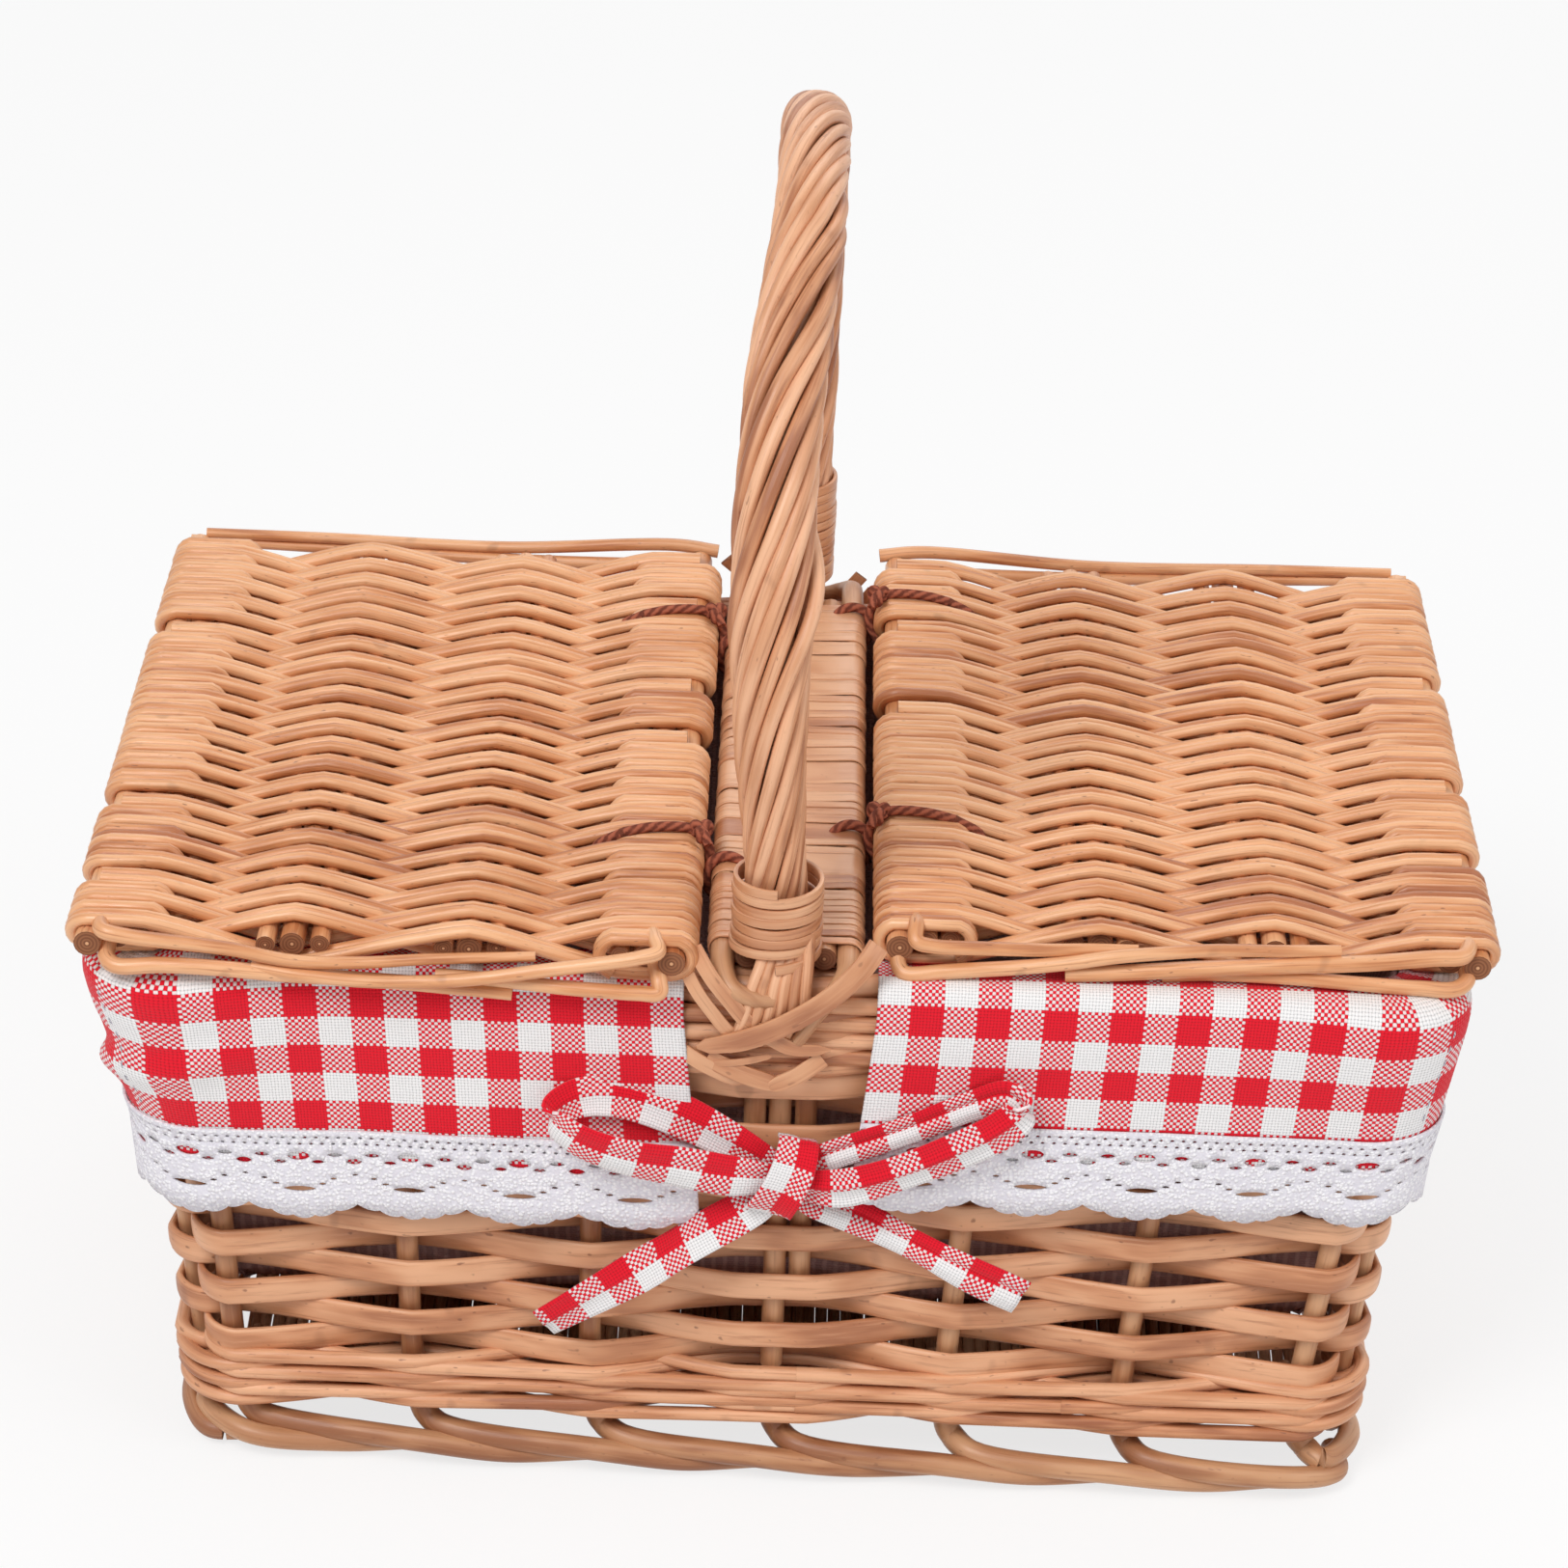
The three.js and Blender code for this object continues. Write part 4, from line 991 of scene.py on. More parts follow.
@dataclass
class Wall(SubAssembly):
    """The woven wall: stakes bent into a foot, two walings, split bands and the rim border."""

    stake_radius: float = 3.25
    stub_radius: float = 3.2
    stake_top: float = 160.5
    corner_stakes: tuple[int, ...] = (6, 11, 18, 23)
    foot_gap: float = 18.0
    wale_radius: float = 2.7
    foot_wale_radius: float = 2.3
    wale_swing: float = 6.4
    wale_step: float = 5.7
    foot_rounds: int = 3
    top_rounds: int = 4
    top_wale: float = 138.2
    band_bottom: float = 35.1
    band_pitch: float = 8.59
    band_half: Pair = (1.35, 4.35)
    band_swing: float = 5.05
    band_pairs: int = 6
    border_swing: float = 3.4
    border_half: Pair = (3.2, 3.7)
    centre_flat: float = 0.2
    steps: int = 14
    stray: float = 0.3
    stub_tops: tuple[Pair, ...] = ((-7.2, 80.0), (7.2, 62.0))
    foot_bulge: tuple[Pair, ...] = ((0, 0), (1.5, 3.0), (5.0, 6.0), (6.3, 5.0), (7.2, 0), (24, 0))

    def weaver(
        self, start: int, rounds: int, level: float, rise: float, swing: float, parity: int, period: int
    ) -> tuple[Array, Array]:
        """The line of a rod woven outside one stake and inside the next, round by round upwards.

        Args:
            start: The stake where the rod starts.
            rounds: How many times it goes round.
            level: The height of its first round.
            rise: The step from one round to the next.
            swing: How far out and in it goes.
            parity: Which stakes it passes inside.
            period: 2 for a rod that passes inside every second stake, 3 for every third one.

        Returns:
            The line's points and the wall's lean there.
        """
        wall = self.wall
        stops = rounds * wall.stakes
        u = start + np.linspace(0, stops - 1, (stops - 1) * self.steps + 1)
        first = np.minimum(np.floor(u - start + 1e-9).astype(int), stops - 2)
        share = u - start - first

        def side(stop: Array) -> Array:
            """1 where the rod passes outside that stop's stake, -1 where inside."""
            shift = stop // wall.stakes if period == 2 else 0
            return np.where(((start + stop) % wall.stakes + parity + shift) % period == 1, -1.0, 1.0)

        here = (start + first) % wall.stakes
        centres = (wall.front_centre, wall.back_centre)
        flat = self.centre_flat
        share = np.where(np.isin(here, centres), np.clip((share - flat) / (1 - flat), 0, 1), share)
        share = np.where(np.isin((here + 1) % wall.stakes, centres), np.clip(share / (1 - flat), 0, 1), share)
        ease = 0.65 * share + 0.35 * (1 - np.cos(math.pi * share)) / 2
        offset = side(first) * (1 - ease) + side(first + 1) * ease
        rounds_done = first // wall.stakes * (1 - ease) + (first + 1) // wall.stakes * ease
        z = level + rise * rounds_done + self.stray * wander(len(u), stops, self.rng)
        out = swing * offset * (1 + 0.06 * wander(len(u), stops, self.rng))
        return wall.at(u, z, out), wall.lean(u, z)

    def build(self) -> None:
        """Builds and dresses every piece of the wall."""
        centre = self.wall.back_centre
        self._stakes()
        self._stubs()
        self._wale("foot_wale", self.foot_gap - 0.4, self.foot_rounds, centre + 1, self.foot_wale_radius)
        self._wale("top_wale", self.top_wale, self.top_rounds, centre + 3, self.wale_radius)
        for pair in range(self.band_pairs):
            self._bands(pair)
        self._border()

    def foot(self, u: float, z: float, offset: float) -> Array:
        """A place on the foot, which bulges to the front."""
        bulge = np.interp(u % self.wall.stakes, *zip(*self.foot_bulge))
        return self.wall.at(u, z, offset + bulge)

    def _stakes(self) -> None:
        """Stakes that bend over the ground, run outside the next one and end under the one after."""
        wall = self.wall
        rods = []
        for i in range(wall.stakes):
            is_centre = i in (wall.front_centre, wall.back_centre)
            top = self.band_bottom - 0.9 if is_centre else self.stake_top
            bend = i + (0.2 if i in self.corner_stakes else 0.05)
            stops = [wall.at(i, z) for z in (top, (top + self.foot_gap) / 2, self.foot_gap - 1)]
            stops += [wall.at(bend, 12.0, 0.6), self.foot(bend + 0.12, 10.2, 1.8)]
            stops += [self.foot(i + 1, 7.8, 5.6), self.foot(i + 1.5, 5.0, 4.6), self.foot(i + 1.96, 4.4, 0.6)]
            line = smooth(stops, 10)
            line[:, 2] += 0.25 * wander(len(line), 8, self.rng)
            tip = 1.0 - 0.1 * self.rng.random()
            taper = np.interp(np.arange(len(line)), [0, 20, 32, len(line) - 1], [0.96, 1.0, 1.14, tip])
            out = unit(wall.at(i + 1.0, 10.0, 1.0) - wall.at(i + 1.0, 10.0))
            rods.append(Rod(line, taper, out, self.rng.random()))
        size = (self.stake_radius, self.stake_radius)
        piece = self.shop.lay("woven_stakes", rods, Look.STAKE.finish, size, sides=14)
        flatten_foot(piece)
        self.dress(piece, Look.STAKE, "stake_frame")

    def _stubs(self) -> None:
        """Short stakes set in beside the handle's tails, the left one ending higher."""
        rods = []
        for turn in (1, -1):
            for x, low in self.stub_tops:
                ends = [self.wall.front_offset(turn * x, z, 0.0, turn < 0) for z in (low, self.stake_top)]
                line = smooth(ends, 20)
                line[:, 0] += 0.3 * wander(len(line), 4, self.rng)
                rods.append(Rod(line, 1.0, Y_AXIS, 0.2 + 0.6 * self.rng.random()))
        self.make("handle_side_stakes", rods, Look.STAKE, size=self.stub_radius, sides=14)

    def _wale(self, name: str, bottom: float, rounds: int, start: int, radius: float) -> None:
        """Lays three round rods together, each outside two stakes and inside the third.

        Args:
            name: The waling's name.
            bottom: Its lower edge.
            rounds: How many rounds it has.
            start: The stake where it starts.
            radius: The rods' radius.
        """
        rods = []
        swing = self.wale_swing - self.wale_radius + radius
        for parity in (0, 1, 2):
            level = bottom + radius + parity * self.wale_step / 3
            line, lean = self.weaver(start, rounds, level, self.wale_step, swing, parity, 3)
            rods += split_rod(line, lean, 12 * self.steps + 5, self.rng, 0.16)
        self.make(name + "_rods", rods, Look.WALL, name, radius, sides=12)

    def _bands(self, pair: int) -> None:
        """Weaves two rounds of split willow, one after the other.

        Args:
            pair: Which two rounds, from 0 at the bottom.
        """
        level = self.band_bottom + (2 * pair + 0.5) * self.band_pitch
        start = self.wall.back_centre + 1 + pair % 3
        line, lean = self.weaver(start, 2, level, self.band_pitch, self.band_swing, 0, 2)
        rods = split_rod(line, lean, 24 * self.steps - 3, self.rng, 0.05)
        node = f"wall_band_{pair + 1}"
        self.make(f"split_band_{pair + 1}", rods, Look.WALL, node, self.band_half, Section.SPLIT, 16)

    def _border(self) -> None:
        """Two rods twisted along the rim, over the stakes' tops."""
        wall = self.wall
        u = np.linspace(0, wall.stakes, wall.stakes * 16, endpoint=False)
        rods = []
        for phase in (0.0, math.pi):
            z = wall.rim - 4.1 + 0.35 * np.sin(math.pi * u + phase)
            line = wall.at(u, z, self.border_swing * np.cos(math.pi * u + phase))
            rods.append(Rod(line, 1.0, wall.lean(u, z), 0.3 + 0.4 * self.rng.random(), closed=True))
        self.make("rim_border_rods", rods, Look.WALL, "rim_border", self.border_half, sides=12)


def split_rod(
    line: Array, up: Array, length: int, rng: np.random.Generator, spread: float, lap: int = 4
) -> list[Rod]:
    """Cuts a long woven line into rods, each with its own thickness, taper and tone.

    Args:
        line: The whole line.
        up: The direction that the rod's section stands in, at each point.
        length: About how many points a rod has.
        rng: The random source.
        spread: How much the rods differ in thickness.
        lap: How many points a rod lies past the next one's start.

    Returns:
        The rods.
    """
    rods = []
    first = 0
    while first < len(line) - 1:
        last = min(first + int(length * rng.uniform(0.85, 1.15)), len(line) - 1)
        if len(line) - last < length // 3:
            last = len(line) - 1
        stop = min(last + lap, len(line) - 1)
        count = stop - first + 1
        thick, thin = 1 + spread * rng.uniform(-0.4, 0.4), 1 - spread * rng.uniform(0.2, 1.0)
        scale = np.linspace(thick, thin, count) * (1 + 0.02 * wander(count, max(2, count // 12), rng))
        rods.append(Rod(line[first : stop + 1], scale, up[first : stop + 1], rng.random()))
        first = last
    return rods


def flatten_foot(piece: Piece) -> None:
    """Wears a piece flat where it meets the ground.

    Args:
        piece: The piece.
    """
    places = np.empty(len(piece.data.vertices) * 3, "f")
    piece.data.vertices.foreach_get("co", places)
    places[2::3] = np.maximum(places[2::3], 0.0)
    piece.data.vertices.foreach_set("co", places)
    piece.data.update()


@dataclass
class WovenPanel:
    """Rods woven over and under groups of sticks and round the edge sticks, lying along X."""

    groups: tuple[float, ...]
    edges: Pair
    rise: float
    pitch: float
    rng: np.random.Generator
    abreast: int = 1
    edge_flat: float = 9.0
    edge_loops: int = 0
    group_width: float = 0.0
    plateau: float = 1.0
    steps: int = 11
    wrap_steps: int = 8
    jitter: float = 0.07
    rows_a_rod: tuple[int, int] = (5, 12)

    def rows(self, first: float, last: float) -> list[Rod]:
        """Weaves the panel, each row of one rod or of a few side by side.

        Args:
            first: Where its rows start along Y.
            last: Where they end.

        Returns:
            The rods.
        """
        rng = self.rng
        count = int(round((last - first) / self.pitch))
        pitch = (last - first) / count
        shifts = (np.arange(self.abreast) - (self.abreast - 1) / 2) * pitch / self.abreast
        jitter = rng.uniform(-self.jitter, self.jitter, (count + 1, self.abreast)) * pitch
        places = first + (np.arange(count + 1)[:, None] + 0.5) * pitch + shifts + jitter
        rods = []
        lines: list[list[Array]] = [[] for _ in shifts]
        row_left = int(rng.integers(*self.rows_a_rod))
        for row in range(count):
            ahead = 1 if row % 2 == 0 else -1
            row_left -= 1
            ends = row_left == 0 or row == count - 1
            for order, line in enumerate(lines):
                y = places[row, order]
                if row == 0 and self.edge_loops:
                    line.append(self._wrap(y - self.pitch / 2, y, -ahead, 1)[self.wrap_steps :])
                line.append(self._row(y, ahead))
                if not ends:
                    loops = self.edge_loops if order == self.abreast - 1 else 0
                    line.append(self._wrap(y, places[row + 1, order], ahead, loops))
            if ends:
                rods += [self._rod(np.vstack(line)) for line in lines]
                lines = [[] for _ in shifts]
                row_left = int(rng.integers(*self.rows_a_rod))
        return rods

    def _row(self, y: float, ahead: int) -> Array:
        """Weaves one row from edge to edge.

        Args:
            y: Where it lies.
            ahead: 1 for a row that runs towards +X, -1 for one that runs back.

        Returns:
            Its points.
        """
        stops = [self.edges[0], *self.groups[1:-1], self.edges[1]]
        last = len(stops) - 1
        sides = [-1 if (g if ahead > 0 else last - g) % 2 == 0 else 1 for g in range(len(stops))]
        places = []
        for g, (near, far) in enumerate(zip(stops, stops[1:])):
            flat_near = self.edge_flat if g == 0 else self.plateau
            flat_far = self.edge_flat if g == last - 1 else self.plateau
            x = np.linspace(near, far, self.steps + 1)[: None if g == last - 1 else -1]
            share = np.clip((x - near - flat_near) / (far - near - flat_near - flat_far), 0, 1)
            ease = 0.7 * share + 0.3 * share * share * (3 - 2 * share)
            z = sides[g] * self.rise * (1 - ease) + sides[g + 1] * self.rise * ease
            places.append(np.stack([x, np.full_like(x, y), z], axis=1))
        row = np.vstack(places)
        row[:, 1] += 0.06 * self.pitch * wander(len(row), 6, self.rng)
        row[:, 2] *= 1 + 0.05 * wander(len(row), 6, self.rng)
        return row if ahead > 0 else row[::-1]

    def _wrap(self, y: float, after: float, ahead: int, loops: int) -> Array:
        """Makes the half turn round an edge stick into the next row.

        Args:
            y: Where the row lies.
            after: Where the next one lies.
            ahead: 1 at the far edge, -1 at the near one.
            loops: How many loops go round the edge's whole group of sticks first.

        Returns:
            Its points.
        """
        edge = self.edges[1] if ahead > 0 else self.edges[0]
        outer = self._half_turn(edge, ahead, math.pi / 2)
        inner = self._half_turn(edge - ahead * self.group_width, ahead, -math.pi / 2)
        path = np.vstack([outer, *[inner, outer] * loops])
        travel = np.interp(np.linspace(0, 1, len(path)), [0, 0.5, 1], [0, 0.7 if loops else 0.5, 1])
        return np.stack([path[:, 0], y + (after - y) * travel, path[:, 1]], axis=1)

    def _half_turn(self, x: float, ahead: int, start: float) -> Array:
        """Half a turn round a stick, down its outer side or, from below, up its inner one."""
        angle = start - math.pi * np.linspace(0, 1, self.wrap_steps + 2)[1:-1]
        return np.stack([x + ahead * self.rise * np.cos(angle), self.rise * np.sin(angle)], axis=1)

    def _rod(self, line: Array) -> Rod:
        """One rod of the panel with its own thickness and tone."""
        scale = self.rng.uniform(0.92, 1.06) * (1 + 0.05 * wander(len(line), 7, self.rng))
        return Rod(line, scale, Y_AXIS, self.rng.random())


@dataclass
class Base(SubAssembly):
    """The bottom: three sticks and thin rods woven across them."""

    z: float = 26.4
    edge: float = 101.0
    stick_radius: float = 3.4
    stick_end: float = 159.5
    weave_end: float = 156.6
    rod_radius: float = 1.95
    pitch: float = 3.7

    def build(self) -> None:
        """Builds and dresses the base."""
        edges = (-self.edge, self.edge)
        rise = self.stick_radius + self.rod_radius
        rods = WovenPanel((-self.edge, 0.0, self.edge), edges, rise, self.pitch, self.rng).rows(
            -self.weave_end, self.weave_end
        )
        for rod in rods:
            rod.points = rod.points[:, [1, 0, 2]] + [0, 0, self.z]
            rod.up = X_AXIS
        self.make("base_rods", rods, Look.WALL, "base_weave", self.rod_radius, sides=8)
        for name, y in (("front", -self.edge), ("middle", 0.0), ("back", self.edge)):
            line = smooth([(x, y, self.z) for x in (-self.stick_end, 0, self.stick_end)], 12)
            rod = Rod(line, 1.0, Z_AXIS, self.rng.random())
            self.make(f"base_{name}_rod", [rod], Look.STAKE, "base_stick_" + name, self.stick_radius)


# The strips crossed under a leg: half the width of each, and its stops as (place across, height, distance
# outside the wall's middle line).
CROSS_STRIPS = (
    (3.2, [(25.5, 182, 7), (22.6, 178.5, 10.5), (18, 173.6, 13), (11.8, 168, 14.6), (5, 163, 15.2),
           (-3, 158, 15.2), (-11.1, 154, 14.4), (-18, 151.5, 13), (-23.9, 149.6, 11.4)]),
    (2.3, [(-25.5, 180, 8), (-20.4, 173, 12.4), (-15.4, 166.4, 13.2), (-9.6, 159, 13.2), (-3, 154, 13),
           (3.5, 151, 13.2), (13.5, 150.2, 11.6)]),
    (2.0, [(-29, 176, 8), (-24.3, 168.2, 12), (-19.9, 161.9, 12.6), (-15.4, 156, 12.6), (-9.7, 151.3, 12.2)]),
    (1.1, [(-22, 144.2, 11), (-12.2, 145.9, 12.8), (-2.8, 147.8, 12)]),
    (2.9, [(-21, 146, 11), (-10.7, 141.7, 12.4), (0.6, 138, 12.4)]),
    (2.6, [(11.4, 147, 11), (4.3, 142, 12.8), (-3.6, 137.6, 12.8)]),
    (2.4, [(-28.5, 147.6, 9.6), (-22.1, 144.2, 11.4), (-16.7, 141.3, 11.4), (-10.5, 137.8, 10.6)]),
)


@dataclass(frozen=True)
class Collar:
    """Turns of flat skein round a leg: where along the rope, from what height, how tall, wide and many."""

    end: str
    share: float
    bottom: float
    height: float
    inner: float
    turns: int


@dataclass
class Handle(SubAssembly):
    """The fixed handle: a core whose tails run down in the wall, twisted rods, collars and skein crosses."""

    leg: float = 119.4
    straight: float = 230.0
    arch: float = 138.0
    rope_start: float = 180.0
    feet: Pair = (-2.0, -1.2)
    bow: float = 5.5
    bow_share: float = 0.4
    lean: float = 2.2
    twist: float = -3.3
    rods: int = 12
    rod_pieces: int = 8
    pitch_radius: float = 9.6
    rod_radius: float = 2.35
    core_radius: float = 7.4
    girth_at: tuple[float, ...] = (0, 0.07, 0.18, 0.3, 0.45, 0.6, 0.85, 1)
    girths: tuple[float, ...] = (0.7, 0.76, 0.98, 0.96, 0.84, 0.84, 0.92, 0.9)
    tail_radius: float = 3.25
    tail_bottom: float = 35.4
    loose_rod: int = 7
    loose_at: float = 0.2
    end_rods: int = 6
    collars: tuple[Collar, ...] = (
        Collar("front", 0.02, 174.9, 24.0, 11.3, 7), Collar("back", 0.97, 181.0, 35.5, 11.1, 11)
    )
    strip_half: Pair = (0.72, 1.48)
    cross_strip_half: Pair = (0.2, 1.0)

    @property
    def leg_length(self) -> float:
        """The straight stretch of a leg inside the rope."""
        return self.straight - self.rope_start

    @property
    def length(self) -> float:
        """The rope's whole length."""
        return 2 * self.leg_length + math.pi / 2 * (self.leg + self.arch)

    def at(self, share: Array) -> Array:
        """Points on the handle's middle line.

        Args:
            share: Their places along it, from the front foot, 0, to the back one, 1.

        Returns:
            The points.
        """
        share = np.asarray(share, float)
        distance = share * self.length
        x = self.feet[0] + (self.feet[1] - self.feet[0]) * share
        x = x - self.bow * np.sin(math.pi * np.minimum(1, share / self.bow_share))
        x = x + self.lean * np.sin(math.pi * np.clip((share - 0.3) / 0.6, 0, 1))
        turn = np.clip((distance - self.leg_length) / (self.length - 2 * self.leg_length), 0, 1) * math.pi
        y = -self.leg * np.cos(turn)
        z = self.straight + self.arch * np.sin(turn)
        z = np.where(distance < self.leg_length, self.rope_start + distance, z)
        z = np.where(distance > self.length - self.leg_length, self.rope_start + self.length - distance, z)
        return np.stack([x, y, z], axis=-1)

    def around(self, share: Array, angle: Array, radius: Array) -> Array:
        """Points round the middle line.

        Args:
            share: Their places along it.
            angle: Their angles round it, 0 being the arch's outside.
            radius: Their distances from it.

        Returns:
            The points.
        """
        ahead = unit(self.at(np.minimum(share + 0.01, 1)) - self.at(np.maximum(share - 0.01, 0)))
        out = unit(np.cross(X_AXIS, ahead))
        across = np.cross(ahead, out)
        cos, sin = np.cos(angle)[:, None], np.sin(angle)[:, None]
        return self.at(share) + radius[:, None] * (cos * out + sin * across)

    def girth(self, share: Array) -> Array:
        """How thick the rope is along its way, 1 being its full size."""
        return np.interp(share, self.girth_at, self.girths)

    def build(self) -> None:
        """Builds and dresses the handle."""
        self._core()
        for piece_index in range(self.rod_pieces):
            self._rope_rods(piece_index)
        self._rod_ends()
        for collar in self.collars:
            self._collar(collar)
        for end in ENDS:
            self._cross(end, end == "back")

    def _core(self) -> None:
        """The core and its two tails, which are the middle stakes of the front and the back."""
        share = np.linspace(0, 1, 90)
        rods = [Rod(self.at(share), self.core_radius * self.girth(share) ** 1.3, X_AXIS, 0.35)]
        for back in (False, True):
            foot = self.at(np.array([0.99 if back else 0.01]))[0]
            heights = (self.tail_bottom, 100.0, 168.0, 173.0)
            stops = [self.wall.front_offset(0.0, z, 0.0, back) for z in heights]
            rods.append(Rod(smooth([*stops, foot], 12), self.tail_radius, X_AXIS, 0.6))
        self.make("handle_core_rod", rods, Look.CORE, "handle_core", sides=14)

    def _rope_rods(self, piece_index: int) -> None:
        """Twists one or two neighbouring rods round the core.

        Args:
            piece_index: Which of the pieces they make, from 0.
        """
        rng = self.rng
        share = np.linspace(0, 1, 220)
        count = len(share)
        girth = self.girth(share)
        rods = []
        for index in range(self.rods):
            if index * self.rod_pieces // self.rods != piece_index:
                continue
            angle = 2 * math.pi * (index / self.rods - self.twist * share) + 0.1 * wander(count, 14, rng)
            radius = (self.pitch_radius + 0.3 * wander(count, 16, rng)) * girth
            if index == self.loose_rod:
                radius += 2.6 * np.exp(-(((share - self.loose_at) / 0.045) ** 2))
            line = self.around(share, angle, radius)
            thick = self.rod_radius * rng.uniform(0.86, 1.06) * (1 + 0.05 * wander(count, 12, rng))
            rods.append(Rod(line, thick * (0.25 + 0.75 * girth), None, rng.random()))
        node = f"handle_rod_{piece_index + 1}"
        self.make(f"twisted_rod_{piece_index + 1}", rods, Look.HANDLE, node, sides=14)

    def _rod_ends(self) -> None:
        """The rope rods' ends, splayed down over the wall under the collars."""
        rods = []
        for back in (False, True):
            turn = -1 if back else 1
            centre = self.at(np.array([0.99 if back else 0.01]))[0]
            for share in (i / (self.end_rods - 1) for i in range(self.end_rods)):
                x0 = centre[0] + turn * (-4.0 + 12.5 * share)
                x1 = turn * (-15 + 20 * share)
                stops = [(x0, centre[1] - turn * 5.0, 186.0), (x0, centre[1] - turn * 9.5, 176.0)]
                low = [(x0 * 0.7 + x1 * 0.3, 169.0, 10.6), ((x0 + x1) / 2, 161.0, 12.2)]
                low.append((x1, 149 + 6 * share, 11.2))
                line = smooth([*stops, *(self.wall.front_offset(*stop, back) for stop in low)], 9)
                rods.append(Rod(line, np.linspace(2.0, 1.6, len(line)), None, self.rng.random()))
        self.make("rope_rod_ends", rods, Look.HANDLE, sides=12)

    def _collar(self, collar: Collar) -> None:
        """Winds a collar, its first turn wider and lower on the left.

        Args:
            collar: The collar's sizes.
        """
        centre = self.at(np.array([collar.share]))[0]
        turns = collar.turns
        t = np.linspace(0, 1, turns * 36 + 1)
        pitch = (collar.height - 2 * self.strip_half[1]) / (turns - 0.6)
        angle = 2 * math.pi * t * turns - math.pi / 2
        z = collar.bottom + self.strip_half[1] + pitch * np.clip(t * turns - 0.3, 0, turns - 0.6)
        z += 0.35 * wander(len(t), turns * 3, self.rng)
        radius = collar.inner + self.strip_half[0] + 0.25 * wander(len(t), turns * 4, self.rng)
        flare = np.clip(1 - t * turns, 0, 1)
        radius = radius + 1.6 * flare * (1 + np.cos(angle - math.radians(200))) / 2
        z -= 2.4 * flare * (1 + np.cos(angle - math.radians(215))) / 2
        line = np.stack([centre[0] + radius * np.cos(angle), centre[1] + radius * np.sin(angle), z], axis=1)
        rod = Rod(line, 1.0 + 0.06 * wander(len(t), turns * 2, self.rng), Z_AXIS, 0.62)
        node = collar.end + "_collar"
        self.make(node + "_skein", [rod], Look.SKEIN, node, self.strip_half, Section.STRIP, 16)

    def _cross(self, end: str, back: bool) -> None:
        """Lays strips of skein crossed under a leg, with their folded ends under the cross.

        Args:
            end: The leg's name.
            back: Whether it is the back one, whose strips start one stop lower, clear of the raised left lid.
        """
        turn = -1 if back else 1
        strips = []
        for index, (half, route) in enumerate(CROSS_STRIPS):
            stops = [self.wall.front_offset(turn * x, z, offset, back) for x, z, offset in route[int(back) :]]
            line = smooth(stops, 8)
            scale = half * np.interp(np.linspace(0, 1, len(line)), [0, 0.78, 0.94, 1], [1, 1, 0.75, 0.2])
            up = np.cross(-turn * Y_AXIS, unit(np.gradient(line, axis=0)))
            strips.append(Rod(line, scale, up, 0.3 + 0.13 * (index % 4)))
        size = self.cross_strip_half
        self.make(end + "_crossed_skein", strips, Look.SKEIN, end + "_cross_skein", size, Section.STRIP, 16)


